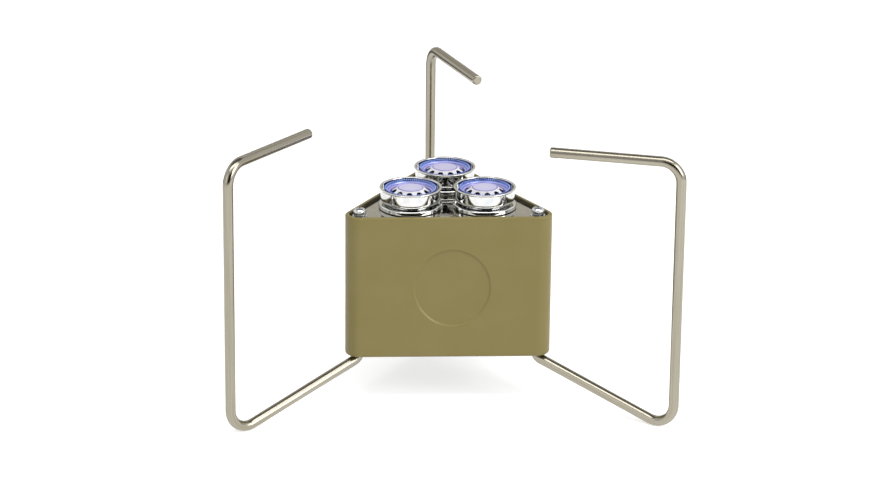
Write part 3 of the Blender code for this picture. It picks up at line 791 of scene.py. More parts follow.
def cross_tool(length: float, width: float, inner: float, outer: float, taper: float = 0.55) -> Shape:
    """Makes the tool for a screw's cross recess, which narrows towards its inner end.

    Args:
        length: Length of each bar of the cross at the screw's face.
        width: Width of each bar.
        inner: Height of the recess's deepest level.
        outer: Height that the tool runs out to.
        taper: Share of the cross's size that is left at the deepest level.

    Returns:
        The tool.
    """
    long, short = length / 2, width / 2
    arm = [Vector((long, -short, 0)), Vector((long, short, 0)), Vector((short, short, 0))]
    outline = [turn_about_z(math.pi / 2 * quarter) @ point for quarter in range(4) for point in arm]
    tool = prism([outline], min(inner, outer), max(inner, outer))
    deep = [vert for vert in tool.verts if abs(vert.co.z - inner) < MERGE]
    bmesh.ops.scale(tool, verts=deep, vec=(taper, taper, 1))
    return tool


def ring_section(outer: float, hole: float, low: float, high: float, edge: float) -> list[Corner]:
    """The corners of a plain ring's section, from the lower outer one up and inwards, all with one fillet."""
    places = ((outer, low), (outer, high), (hole, high), (hole, low))
    return [(radius, level, edge) for radius, level in places]


def mark(shape: Shape, name: str, measure: Callable[[Vector], float]) -> Shape:
    """Writes an attribute on every point of a shape.

    Args:
        shape: The shape that is worked on.
        name: The attribute's name.
        measure: Works out the attribute's value from a point's place.

    Returns:
        The same shape.
    """
    layer = shape.verts.layers.float.new(name)
    for vert in shape.verts:
        vert[layer] = measure(vert.co)
    return shape


def turned_size(node: str) -> tuple[float, float, float]:
    """The lowest and the highest level of a turned CAD node, and its radius."""
    lo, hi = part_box(node)
    return lo.z, hi.z, (hi.x - lo.x) / 2


@dataclass
class Bench:
    """Where every piece is finished: it holds the materials, and puts each piece on its body."""

    materials: dict[str, bpy.types.Material]
    count: int = 0

    def deliver(
        self, shape: Shape, name: str, slot: str, body: str, nodes: Sequence[str], crease: float = 35.0
    ) -> None:
        """Smooths and dresses a piece, and puts it in the place of its CAD nodes.

        Args:
            shape: The piece's shape, in place. It is freed.
            name: The piece's name.
            slot: The material slot, which picks the bench's material.
            body: The CAD body that the piece moves with.
            nodes: The CAD nodes that it stands for.
            crease: The angle above which an edge stays sharp.
        """
        obj = as_object(shape, name)
        obj.data.shade_smooth()
        obj.data.set_sharp_from_angle(angle=math.radians(crease))
        obj.data.materials.append(self.materials[slot])
        weigh = obj.modifiers.new("even shading", "WEIGHTED_NORMAL")
        weigh.keep_sharp = True
        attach(obj, body)
        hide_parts(*nodes)
        self.count += 1
        log.info("%s: %d faces, in the place of %s", name, len(obj.data.polygons), ", ".join(nodes))

    def repaint(self, nodes: Mapping[str, bpy.types.Object], name: str, slot: str) -> None:
        """Gives a CAD node that keeps its shape the bench's material.

        Args:
            nodes: The CAD nodes by name.
            name: The node's name.
            slot: The material slot, which picks the bench's material.
        """
        for place in nodes[name].material_slots:
            place.material = self.materials[slot]
        log.info("%s keeps its shape, in %s", name, slot)


def pivots(joints: Sequence[Mapping[str, Any]]) -> dict[Station, Vector]:
    """Where each leg turns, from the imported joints."""
    found = {joint["child"]: Vector(joint["pos_m"]) for joint in joints}
    return {station: found[f"{station.key}_leg"] for station in Station}


@dataclass
class Casing:
    """The extruded olive casing with its mirror plate, its vented floor and the floor's screws."""

    pivot_radius: float
    corner_radius: float = 0.0070
    wall: float = 0.0020
    rim_fillet: float = 0.0008
    inner_rim_fillet: float = 0.0004
    base_fillet: float = 0.0015
    boss_radius: float = 0.0060
    bush_seat: float = 0.0039
    bore: float = 0.0029
    bush_length: float = 0.0080
    bush_recess: float = 0.0012
    port_radius: float = 0.0030
    port_offset: float = 0.0160
    port_merge: float = 0.0006
    tap_radius: float = 0.0013
    tap_depth: float = 0.0090
    recess_radius: float = 0.0187
    recess_depth: float = 0.0006
    recess_slope: float = 0.0008
    recess_fillet: float = 0.0004
    recess_shift: float = 0.0018
    recess_sides: int = 128
    # The photographed recess is a little taller than it is wide.
    recess_stretch: float = 1.06
    inlet_hole: float = 0.0051
    spigot_hole: float = 0.0093
    screw_hole: float = 0.0018
    vent_width: float = 0.0050
    vent_length: float = 0.0180
    vent_pitch: float = 0.0080
    vents_each: int = 3
    burner_radius: float = 0.0208
    notch_radius: float = 0.0063
    sink_radius: float = 0.0025
    sink_depth: float = 0.0011
    head_radius: float = 0.0022
    head_edge: float = 0.0001
    head_sink: float = 0.0001
    shank_radius: float = 0.0010
    shank_start: float = 0.0012
    screw_length: float = 0.0070
    # Length and width of the cross recess's bars, and its depth.
    cross: tuple[float, float, float] = (0.0020, 0.0005, 0.0006)
    corner_steps: int = 24
    edge_steps: int = 5
    vent_steps: int = 12
    height: float = field(init=False)
    plate_low: float = field(init=False)
    plate_high: float = field(init=False)
    floor_top: float = field(init=False)

    def __post_init__(self) -> None:
        """Reads the casing's levels off the CAD nodes."""
        self.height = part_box("housing")[1].z
        self.plate_low, self.plate_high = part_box("top_plate")[0].z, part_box("top_plate")[1].z
        self.floor_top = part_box("bottom_plate")[1].z

    @property
    def wall_distance(self) -> float:
        """How far the outside of a wall is from the casing's axis."""
        return self.pivot_radius / 2 + self.corner_radius

    @property
    def inner_radius(self) -> float:
        """Radius of the hollow's corners."""
        return self.corner_radius - self.wall

    @property
    def boss_top(self) -> float:
        """Height at which the bosses and the screw ports end, just under the mirror plate."""
        return self.plate_low - SEAT_GAP

    @property
    def corner_centres(self) -> list[Vector]:
        """The centres of the casing's corners, where the legs turn, at height 0."""
        return [polar(self.pivot_radius, station.angle) for station in Station]

    @property
    def port_centres(self) -> list[Vector]:
        """The centres of the three screw ports, at height 0.

        Returns:
            The centres, each beside the middle of a wall.
        """
        distance = self.wall_distance - self.wall - self.port_radius + self.port_merge
        walls = [INLET_ANGLE + THIRD * index for index in range(3)]
        return [polar(distance, wall) + polar(self.port_offset, wall + math.pi / 2) for wall in walls]

    def outline(self, radius: float, height: float) -> list[Vector]:
        """Draws the triangle of the pivots, grown by a radius.

        Args:
            radius: Radius of the triangle's corners, which are centred on the pivots.
            height: Height of the outline.

        Returns:
            The outline's points.
        """
        points = []
        for station in sorted(Station, key=lambda s: s.angle):
            for step in range(self.corner_steps + 1):
                turn = station.angle + THIRD * (step / self.corner_steps - 0.5)
                points.append(polar(self.pivot_radius, station.angle, height) + polar(radius, turn))
        return points

    def shelter(self, point: Vector) -> float:
        """Works out how deep a point lies in the painted shade of the inner walls.

        Args:
            point: A point of the casing.

        Returns:
            0 on the casing's outside and rim, 1 on its inner walls, and the values between on its inner edge.
        """
        flat = point.xy.to_3d()
        ends, distances = self.corner_centres, []
        for start, end in zip(ends, ends[1:] + ends[:1]):
            _, share = intersect_point_line(flat, start, end)
            distances.append((start.lerp(end, min(1.0, max(0.0, share))) - flat).length)
        depth = self.inner_radius + self.inner_rim_fillet - min(distances)
        return min(1.0, max(0.0, depth / self.inner_rim_fillet))

    def skin(self) -> Shape:
        """Makes the casing's outside.

        Returns:
            The solid outside, with a rounded rim and a rounder base.
        """
        base, rim = (quarter(fillet, self.edge_steps) for fillet in (self.base_fillet, self.rim_fillet))
        levels = [(self.corner_radius - inset, up) for up, inset in base]
        levels += [(self.corner_radius - inset, self.height - down) for inset, down in rim]
        return loft([self.outline(radius, height) for radius, height in levels])

    def hollow(self) -> Shape:
        """Makes the tool for the casing's hollow.

        Returns:
            The hollow with a rounded upper rim, less the bosses and the screw ports that it leaves standing.
        """
        levels = [(self.inner_radius, -OVERCUT)]
        for flare, down in quarter(self.inner_rim_fillet, FILLET_STEPS):
            levels.append((self.inner_radius + flare, self.height - down))
        levels.append((self.inner_radius + self.inner_rim_fillet, self.height + OVERCUT))
        hollow = loft([self.outline(radius, height) for radius, height in levels])
        foot, top = self.floor_top + SEAT_GAP, self.boss_top
        standing = pegs(self.corner_centres, self.boss_radius, Sides.MEDIUM, -2 * OVERCUT, top)
        standing += pegs(self.port_centres, self.port_radius, Sides.SMALL, foot, top)
        return reduce(carve, standing, hollow)

    def leg_bore(self, centre: Vector) -> Shape:
        """Makes the tool for one corner's bore.

        Args:
            centre: The corner's centre.

        Returns:
            The tool, with a wider seat for a bush at each end.
        """
        lower = self.bush_recess + self.bush_length + SEAT_GAP
        upper = self.boss_top - self.bush_length - 2 * SEAT_GAP
        seat, bore = self.bush_seat, self.bore
        corners = [(0, self.height), (seat, self.height), (seat, upper), (bore, upper), (bore, lower)]
        corners += [(seat, lower), (seat, -OVERCUT), (0, -OVERCUT)]
        return moved(revolve(corners, Sides.MEDIUM, closed=False), Matrix.Translation(centre))

    def recess(self) -> Shape:
        """Makes the tool for the shallow round recess in the front wall.

        Returns:
            The tool, in place, with a sloping edge.
        """
        outer, depth = self.recess_radius, self.recess_depth
        corners = [
            (0, OVERCUT),
            (outer + OVERCUT, OVERCUT),
            (outer, 0),
            (outer - self.recess_slope, -depth, self.recess_fillet),
            (0, -depth),
        ]
        stand = Matrix.Translation((self.recess_shift, -self.wall_distance, self.height / 2))
        taller = Matrix.Diagonal((1, 1, self.recess_stretch, 1))
        turned = stand @ taller @ Matrix.Rotation(math.pi / 2, 4, "X")
        return moved(revolve(corners, self.recess_sides, steps=3, closed=False), turned)

    def inlet_place(self) -> Matrix:
        """Works out where the gas inlet is.

        Returns:
            The matrix that turns a piece made along +Z to point out of the rear wall there.
        """
        lo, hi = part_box("inlet_fitting")
        centre = polar(self.wall_distance, INLET_ANGLE, (lo.z + hi.z) / 2)
        return Matrix.Translation(centre) @ turn_about_z(INLET_ANGLE) @ Matrix.Rotation(math.pi / 2, 4, "Y")

    def inlet_opening(self) -> Shape:
        """The tool for the hole that the gas inlet passes, in place."""
        hole = circle(self.inlet_hole, Sides.MEDIUM)
        return moved(prism([hole], -2 * OVERCUT, OVERCUT), self.inlet_place())

    def shell(self) -> Shape:
        """Makes the casing itself.

        Returns:
            The hollow casing, with an attribute that marks its inner walls for the painted shade.
        """
        tools = [self.hollow(), *map(self.leg_bore, self.corner_centres), self.recess(), self.inlet_opening()]
        tools += pegs(self.port_centres, self.tap_radius, Sides.TINY, 0, self.tap_depth)
        # Marks the inner walls, where the coat takes a darker colour as painted shade.
        return mark(reduce(carve, tools, self.skin()), "thin_coat", self.shelter)

    def mirror_plate(self) -> Shape:
        """Makes the polished plate.

        Returns:
            The plate, with a hole for each burner's spigot and each leg's screw.
        """
        loops = [self.outline(self.inner_radius - SEAT_GAP, 0)]
        for station in Station:
            loops.append(circle(self.spigot_hole, Sides.LARGE, polar(self.burner_radius, station.angle)))
            loops.append(circle(self.screw_hole, Sides.SMALL, polar(self.pivot_radius, station.angle)))
        return prism(loops, self.plate_low, self.plate_high)

    def vent(self, centre: Vector, angle: float) -> list[Vector]:
        """Draws one air slot with round ends.

        Args:
            centre: The slot's centre.
            angle: The direction that it runs in.

        Returns:
            The slot's outline.
        """
        points = []
        for end in (0.0, math.pi):
            middle = centre + polar((self.vent_length - self.vent_width) / 2, angle + end)
            for turn in arc(math.pi, self.vent_steps):
                points.append(middle + polar(self.vent_width / 2, angle + end + turn - math.pi / 2))
        return points

    def vented_floor(self) -> Shape:
        """Makes the plate under the casing.

        Returns:
            The plate, with rows of air slots, notches round the legs and sunk screw holes.
        """
        loops = [self.outline(self.inner_radius - SEAT_GAP, 0)]
        for station in Station:
            for row in range(self.vents_each):
                distance = self.burner_radius + self.vent_pitch * (row - (self.vents_each - 1) / 2)
                loops.append(self.vent(polar(distance, station.angle), station.angle + math.pi / 2))
        above = 2 * OVERCUT
        tools = pegs(self.corner_centres, self.notch_radius, Sides.MEDIUM, -OVERCUT, above)
        corners = [(0, above), (self.tap_radius, above), (self.tap_radius, self.sink_depth)]
        corners += [(self.sink_radius, 0), (self.sink_radius, -OVERCUT), (0, -OVERCUT)]
        for centre in self.port_centres:
            tools.append(moved(revolve(corners, Sides.SMALL, closed=False), Matrix.Translation(centre)))
        return reduce(carve, tools, prism(loops, 0, self.floor_top))

    def floor_screw(self) -> Shape:
        """Makes a countersunk screw.

        Returns:
            The screw, on the Z axis, with a cross recess in its head, which faces down.
        """
        low, edge, top = self.head_sink, self.head_edge, self.screw_length
        corners = [(0, top), (self.shank_radius, top), (self.shank_radius, self.shank_start)]
        corners += [(self.head_radius, low + edge), (self.head_radius - edge, low), (0, low)]
        length, width, depth = self.cross
        cross = cross_tool(length, width, low + depth, -OVERCUT)
        return carve(revolve(corners, Sides.SMALL, closed=False), cross)

    def build(self, bench: Bench) -> None:
        """Makes the casing, its plates and the floor's screws.

        Args:
            bench: The bench that finishes the pieces.
        """
        bench.deliver(self.shell(), "casing_shell", "olive_coat", BODY, ["housing"], crease=30)
        bench.deliver(self.mirror_plate(), "mirror_plate", "polished_steel", BODY, ["top_plate"])
        bench.deliver(self.vented_floor(), "vented_floor", "black_coat", BODY, ["bottom_plate"])
        for number, centre in enumerate(self.port_centres, 1):
            screw, node = moved(self.floor_screw(), Matrix.Translation(centre)), f"closing_screw_{number}"
            bench.deliver(screw, f"floor_screw_{number}", "bright_zinc", BODY, [node])


@dataclass
class FoldingLeg:
    """One bent rod with the bushes it turns in, and the screw and washers that hold it up."""

    station: Station
    pivot: Vector
    turn: float
    rod_radius: float = 0.0025
    reach: float = 0.0765
    drop: float = 0.0021
    slope: float = 16.7
    bar_height: float = 0.1108
    top_bar: float = 0.0630
    twist: float = 17.4
    setback: float = 0.0007
    pivot_bend: float = 0.0050
    elbow_bend: float = 0.0100
    tip_round: float = 0.0007
    bend_steps: int = 16
    sides: int = 32
    tap_radius: float = 0.0015
    tap_depth: float = 0.0113
    bush_outer: float = 0.0036
    bush_bore: float = 0.0026
    bush_edge: float = 0.0002
    washer_hole: float = 0.0018
    cut_edge: float = 0.00005
    # Stamping rounds one edge of a flat washer more than the others.
    stamped_edge: float = 0.00018
    wire_edge: float = 0.0001
    slit: float = 9.0
    slit_rise: float = 0.00012
    coil_steps: int = 60
    dome_inset: float = 0.0006
    dome_fillet: float = 0.0022
    head_drop: float = 0.0013
    head_fillet: float = 0.0006
    head_edge: float = 0.0001
    shank_radius: float = 0.0012
    point_radius: float = 0.0010
    point_length: float = 0.0004
    # Length and width of the cross recess's bars, and its depth.
    cross: tuple[float, float, float] = (0.0042, 0.0009, 0.0012)

    @property
    def body(self) -> str:
        """The CAD body of this leg."""
        return f"{self.station.key}_leg"

    def corners(self) -> list[Vector]:
        """Draws the rod's middle line with sharp corners.

        Returns:
            Its corners, from the journal's top to the end of the top bar.
        """
        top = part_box(f"upper_bush_{self.station.key}")[1].z - self.setback
        foot = Vector((self.reach, 0, -self.drop - self.reach * math.tan(math.radians(self.slope))))
        head = Vector((self.reach, 0, self.bar_height))
        tip = head + polar(self.top_bar, math.pi + math.radians(self.twist))
        return [Vector((0, 0, top)), Vector((0, 0, -self.drop)), foot, head, tip]

    def path(self) -> list[tuple[Vector, Vector]]:
        """Bends the rod's middle line.

        Returns:
            Points on it, each with the direction of the rod there.
        """
        corners = self.corners()
        first, last = (corners[1] - corners[0]).normalized(), (corners[-1] - corners[-2]).normalized()
        found = [(corners[0], first)]
        bends = (self.pivot_bend, self.elbow_bend, self.elbow_bend)
        for before, corner, after, radius in zip(corners, corners[1:], corners[2:], bends):
            found += bend(before, corner, after, radius, self.bend_steps)
        return [*found, (corners[-1], last)]

    def stops(self) -> list[tuple[Vector, Vector, float]]:
        """Lists every place where the rod gets a ring, with its rounded ends.

        Returns:
            The places in order, each with the rod's direction and radius there.
        """
        path = self.path()
        (start, first), (end, last) = path[0], path[-1]
        narrow = self.rod_radius - self.tip_round
        swell, shrink = [], []
        for depth, loss in quarter(self.tip_round, FILLET_STEPS)[1:]:
            swell.append((start + first * depth, first, self.rod_radius - loss))
            shrink.append((end - last * depth, last, self.rod_radius - loss))
        straight = [(place, along, self.rod_radius) for place, along in path[1:-1]]
        return [(start, first, narrow), *swell, *straight, *reversed(shrink), (end, last, narrow)]

    def rod(self) -> Shape:
        """Pushes a ring along the rod's middle line.

        Returns:
            The bent rod, whose attribute "straight" holds where each point lay before it was bent.
        """
        shape = bmesh.new()
        straight = shape.verts.layers.float_vector.new("straight")
        (place, heading, size), *others = self.stops()
        upright = Vector((0, 0, 1)).rotation_difference(heading).to_matrix().to_4x4()
        start = Matrix.Translation(place) @ upright
        made = bmesh.ops.create_circle(shape, cap_ends=True, segments=self.sides, radius=size, matrix=start)
        ring = made["verts"]
        for index, vert in enumerate(ring):
            vert[straight] = polar(self.rod_radius, FULL_TURN * index / self.sides)
        for here, along, radius in others:
            pushed = bmesh.ops.extrude_edge_only(shape, edges=edges_among(ring))
            ring = [part for part in pushed["geom"] if isinstance(part, bmesh.types.BMVert)]
            swing = heading.rotation_difference(along).to_matrix().to_4x4()
            grow = Matrix.Scale(radius / size, 4)
            step = Matrix.Translation(here) @ swing @ grow @ Matrix.Translation(-place)
            bmesh.ops.transform(shape, matrix=step, verts=ring)
            for vert in ring:
                vert[straight] = vert[straight] + Vector((0, 0, (here - place).length))
            place, heading, size = here, along, radius
        bmesh.ops.contextual_create(shape, geom=edges_among(ring))
        return cleaned(shape)

    def tapped_rod(self) -> Shape:
        """Makes the rod with the hole that its screw goes into.

        Returns:
            The rod. The hole is plain, because the screw hides its thread.
        """
        top = self.corners()[0].z
        hole = prism([circle(self.tap_radius, Sides.TINY)], top - self.tap_depth, top + OVERCUT)
        return carve(self.rod(), hole)

    def bush(self, node: str) -> Shape:
        """A plain bush with broken edges, at the level of its CAD node."""
        section = ring_section(self.bush_outer, self.bush_bore, *turned_size(node)[:2], self.bush_edge)
        return revolve(section, Sides.MEDIUM)

    def plain_washer(self) -> Shape:
        """Makes the flat washer.

        Returns:
            The washer, with the rounded edge that stamping gives its upper side.
        """
        low, high, outer = turned_size(f"flat_washer_{self.station.key}")
        section = ring_section(outer, self.washer_hole, low, high, self.cut_edge)
        section[1] = (outer, high, self.stamped_edge)
        return revolve(section, Sides.LARGE)

    def lock_washer(self) -> Shape:
        """Makes the split washer from a square wire turned once.

        Returns:
            The washer, with its ends a little apart and one above the other.
        """
        low, high, outer = turned_size(f"spring_washer_{self.station.key}")
        section = ring_section(outer, self.washer_hole, low, high, self.wire_edge)
        shape = bmesh.new()
        edges = add_loop(shape, rounded(section, FILLET_STEPS, closed=True))
        first = bmesh.ops.contextual_create(shape, geom=edges)["faces"]
        bmesh.ops.translate(shape, verts=shape.verts[:], vec=(0, 0, -self.slit_rise / 2))
        bmesh.ops.spin(
            shape,
            geom=first,
            cent=(0, 0, 0),
            axis=(0, 0, 1),
            dvec=(0, 0, self.slit_rise / self.coil_steps),
            angle=FULL_TURN - math.radians(self.slit),
            steps=self.coil_steps,
        )
        return cleaned(shape)

    def screw(self) -> Shape:
        """Makes the pan-head screw.

        Returns:
            The screw, with a cross recess and a plain shank, which the rod hides.
        """
        low, top, head = turned_size(f"leg_screw_{self.station.key}")
        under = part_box(f"spring_washer_{self.station.key}")[1].z + SEAT_GAP
        corners = [
            (0, top),
            (head - self.dome_inset, top, self.dome_fillet),
            (head, top - self.head_drop, self.head_fillet),
            (head, under, self.head_edge),
            (self.shank_radius, under),
            (self.shank_radius, low + self.point_length),
            (self.point_radius, low),
            (0, low),
        ]
        length, width, depth = self.cross
        cross = cross_tool(length, width, top - depth, top + OVERCUT)
        return carve(revolve(corners, Sides.LARGE, steps=8, closed=False), cross)

    def build(self, bench: Bench) -> None:
        """Makes the leg and everything on its pivot.

        Args:
            bench: The bench that finishes the pieces.
        """
        key = self.station.key
        place = Matrix.Translation(self.pivot)
        turned = place @ turn_about_z(self.station.angle + math.radians(self.turn))
        set_out = place @ turn_about_z(self.station.angle)
        made = (
            (self.tapped_rod(), turned, "rod", "satin_rod", "leg", 40),
            (self.screw(), place, "pan_screw", "bright_zinc", "leg_screw", 35),
            (self.plain_washer(), set_out, "plain_washer", "bright_zinc", "flat_washer", 35),
            (self.lock_washer(), set_out, "lock_washer", "bright_zinc", "spring_washer", 35),
        )
        for shape, matrix, name, slot, node, crease in made:
            bench.deliver(moved(shape, matrix), f"{name}_{key}", slot, self.body, [f"{node}_{key}"], crease)
        for level in ("lower", "upper"):
            node = f"{level}_bush_{key}"
            bench.deliver(moved(self.bush(node), set_out), f"{level}_sleeve_{key}", "polymer", BODY, [node])


@dataclass
class Burner:
    """One burner: a foot on the plate, a bowl with a flared lip, a stepped flame ring and a ported cap."""

    station: Station
    sides: int = Sides.BROAD
    # Edges that turning leaves: broken ones, and those that a cutter leaves nearly sharp.
    edge: float = 0.0002
    crisp: float = 0.0001
    flange_edge: float = 0.0007
    collar_radius: float = 0.0063
    neck_radius: float = 0.0115
    neck_height: float = 0.0005
    spigot_radius: float = 0.0090
    socket_radius: float = 0.0068
    socket_roof: float = 0.0038
    throat_radius: float = 0.0045
    lip: float = 0.0006
    lip_flare: float = 0.0004
    lip_root: float = 0.0003
    lip_outer: float = 0.00028
    lip_inner: float = 0.0005
    wall: float = 0.0007
    foot_fillet: float = 0.0020
    floor_fillet: float = 0.0003
    ring_gap: float = 0.0004
    ring_width: float = 0.0010
    ring_edge: float = 0.00012
    crown: float = 0.0010
    steps: int = 4
    rise: float = 0.00045
    teeth: int = 80
    tooth_share: float = 0.55
    cap_top: float = 0.00615
    cap_skirt: float = 0.0092
    cap_cone: float = 0.0019
    cap_wall: float = 0.0009
    cap_edge: float = 0.0005
    cap_shoulder: float = 0.0006
    cap_hollow: float = 0.0004
    # A multiple of the ports, so that all of them are cut alike.
    cap_sides: int = 120
    ports: int = 10
    port_width: float = 0.0038
    port_height: float = 0.0039
    port_start: float = 0.0068
    port_end: float = 0.0120
    arch_steps: int = 16
    centre: Vector = field(init=False)
    outer: float = field(init=False)
    low: float = field(init=False)
    rim: float = field(init=False)
    floor: float = field(init=False)
    reach: float = field(init=False)

    def __post_init__(self) -> None:
        """Reads the burner's place and levels off its CAD cup and flame ring."""
        key = self.station.key
        lo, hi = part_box(f"burner_cup_{key}")
        self.centre = Vector(((lo.x + hi.x) / 2, (lo.y + hi.y) / 2, 0))
        self.outer, self.low, self.rim = (hi.x - lo.x) / 2, lo.z, hi.z
        ring_low, _, self.reach = turned_size(f"flame_ring_{key}")
        self.floor = ring_low - SEAT_GAP

    def foot(self) -> Shape:
        """Makes the base.

        Returns:
            A flange with a rounded edge on the plate, a neck, a collar and a spigot through the plate.
        """
        end, top, flange = turned_size(f"burner_base_{self.station.key}")
        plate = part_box("top_plate")[1].z + SEAT_GAP
        neck_top, roof = self.low - SEAT_GAP, plate - self.socket_roof
        shoulder = neck_top - self.neck_height
        corners = [
            (self.collar_radius, top, self.edge),
            (self.collar_radius, neck_top, self.crisp),
            (self.neck_radius, neck_top, self.crisp),
            (self.neck_radius, shoulder, self.crisp),
            (flange, shoulder, self.flange_edge),
            (flange, plate, self.edge),
            (self.spigot_radius, plate),
            (self.spigot_radius, end, self.edge),
            (self.socket_radius, end, self.edge),
            (self.socket_radius, roof, self.crisp),
            (self.throat_radius, roof, self.crisp),
            (self.throat_radius, top, self.edge),
        ]
        return revolve(corners, self.sides)

    def bowl(self) -> Shape:
        """Makes the cup.

        Returns:
            The cup, with a rounded foot, a straight wall and a rolled lip.
        """
        outer = self.outer - self.lip
        inner = outer - self.wall
        hole = self.collar_radius + SEAT_GAP
        lip = self.rim - self.lip
        corners = [
            (outer, self.low, self.foot_fillet),
            (outer, lip - self.lip_root, self.lip_flare),
            (self.outer, lip + self.crisp, self.edge),
            (self.outer, self.rim, self.lip_outer),
            (inner, self.rim, self.lip_inner),
            (inner, self.floor, self.floor_fillet),
            (hole, self.floor, self.crisp),
            (hole, self.low, self.crisp),
        ]
        return revolve(corners, self.sides, steps=6)

    def flame_ring(self) -> Shape:
        """Makes the stepped ring, whose treads rise to the wall.

        Returns:
            The ring with a crown of fine teeth round its top. Its attribute "outward" steers the heat tint
            and its painted highlights and glow.
        """
        low, top, outer = turned_size(f"flame_ring_{self.station.key}")
        inner, soft = self.cap_skirt + self.ring_gap, self.ring_edge
        root, shelf = outer - self.ring_width, top - self.crown
        tread, level = (root - inner) / self.steps, shelf - self.rise * (self.steps - 1)
        corners = [(outer, low, soft), (inner, low, soft), (inner, level, soft)]
        for step in range(1, self.steps):
            corners.append((inner + tread * step, level + self.rise * (step - 1), soft))
            corners.append((inner + tread * step, level + self.rise * step, soft))
        corners += [(root, shelf, soft), (outer, shelf, soft)]
        ring = revolve(corners, self.sides, steps=2)
        mesh = bpy.data.meshes.new("comb")
        comb = self.comb(root, shelf, top)
        comb.to_mesh(mesh)
        comb.free()
        ring.from_mesh(mesh)
        bpy.data.meshes.remove(mesh)
        return mark(ring, "outward", lambda point: point.xy.length / outer)

    def comb(self, root: float, shelf: float, top: float) -> Shape:
        """Makes the flame ring's crown of teeth.

        Args:
            root: Radius at which the teeth start.
            shelf: Height of the shelf that they stand on, which they reach into.
            top: Height of their tops.

        Returns:
            All the teeth, with bevelled tops.
        """
        half, end = math.pi / self.teeth * self.tooth_share, self.reach - self.crisp
        outline = [polar(root, -half), polar(end, -half), polar(end, half), polar(root, half)]
        tooth = prism([outline], shelf - self.edge, top)
        edges = [edge for edge in tooth.edges if all(vert.co.z > top - MERGE for vert in edge.verts)]
        bmesh.ops.bevel(
            tooth, geom=edges, offset=self.crisp, segments=1, profile=0.5, affect="EDGES", material=-1
        )
        return repeated(tooth, self.teeth)

    def ported_cap(self) -> Shape:
        """Makes the cap: a slightly domed disc, a conical skirt and arched ports round its foot.

        Returns:
            The cap. Its attribute "outward" steers the heat tint and the painted light, and is 1 in its
            hollow and ports, which gives them the near-black of painted shade.
        """
        low, high, _ = turned_size(f"burner_cap_{self.station.key}")
        top, skirt, wall = self.cap_top, self.cap_skirt, self.cap_wall
        under, shoulder = high - self.cap_edge - wall, high - self.cap_cone
        corners = [
            (0, high),
            (top - self.edge, high, self.cap_edge),
            (skirt, shoulder, self.cap_shoulder),
            (skirt, low, self.edge),
            (skirt - wall, low, self.crisp),
            (skirt - wall, shoulder - wall / 2, self.floor_fillet),
            (top - wall / 2, under, self.cap_hollow),
            (0, under),
        ]
        cap = revolve(corners, self.cap_sides, steps=6, closed=False)
        half, height = self.port_width / 2, self.port_height
        turns = arc(math.pi, self.arch_steps)
        arch = [Vector((half * math.cos(turn), height - half + half * math.sin(turn), 0)) for turn in turns]
        arch += [Vector((-half, -height, 0)), Vector((half, -height, 0))]
        tool = prism([arch], self.port_start, self.port_end)
        upright = Matrix(((0, 0, 1, 0), (1, 0, 0, 0), (0, 1, 0, low), (0, 0, 0, 1)))
        first = turn_about_z(math.pi / self.ports)
        cap = carve(cap, repeated(moved(tool, first @ upright), self.ports))
        return mark(cap, "outward", lambda point: self.cap_tint(point, high))

    def cap_tint(self, point: Vector, high: float) -> float:
        """Finds where a point of the cap stands in the bands of heat tint and painted light.

        Args:
            point: The point.
            high: Height of the cap's top.

        Returns:
            The point's radius as a share of the flame ring's on the cap's outside, and 1 in its hollow,
            which is painted shade.
        """
        radius, half = point.xy.length, self.cap_wall / 2
        fall = max(0.0, radius - self.cap_top) * self.cap_cone / (self.cap_skirt - self.cap_top)
        outside = radius > self.cap_skirt - half or point.z > high - fall - half
        # The hollow reads 1, which takes the near-black band: painted shade.
        return radius / self.reach if outside else 1.0

    def build(self, bench: Bench) -> None:
        """Makes the burner's four visible pieces.

        Args:
            bench: The bench that finishes the pieces.
        """
        key = self.station.key
        set_out = Matrix.Translation(self.centre) @ turn_about_z(self.station.angle)
        made = (
            (self.foot(), "burner_foot", "chrome", "burner_base"),
            (self.bowl(), "burner_bowl", "chrome", "burner_cup"),
            (self.flame_ring(), "comb_ring", "tinted_ring", "flame_ring"),
            (self.ported_cap(), "ported_cap", "tinted_cap", "burner_cap"),
        )
        for shape, name, slot, node in made:
            bench.deliver(moved(shape, set_out), f"{name}_{key}", slot, BODY, [f"{node}_{key}"])


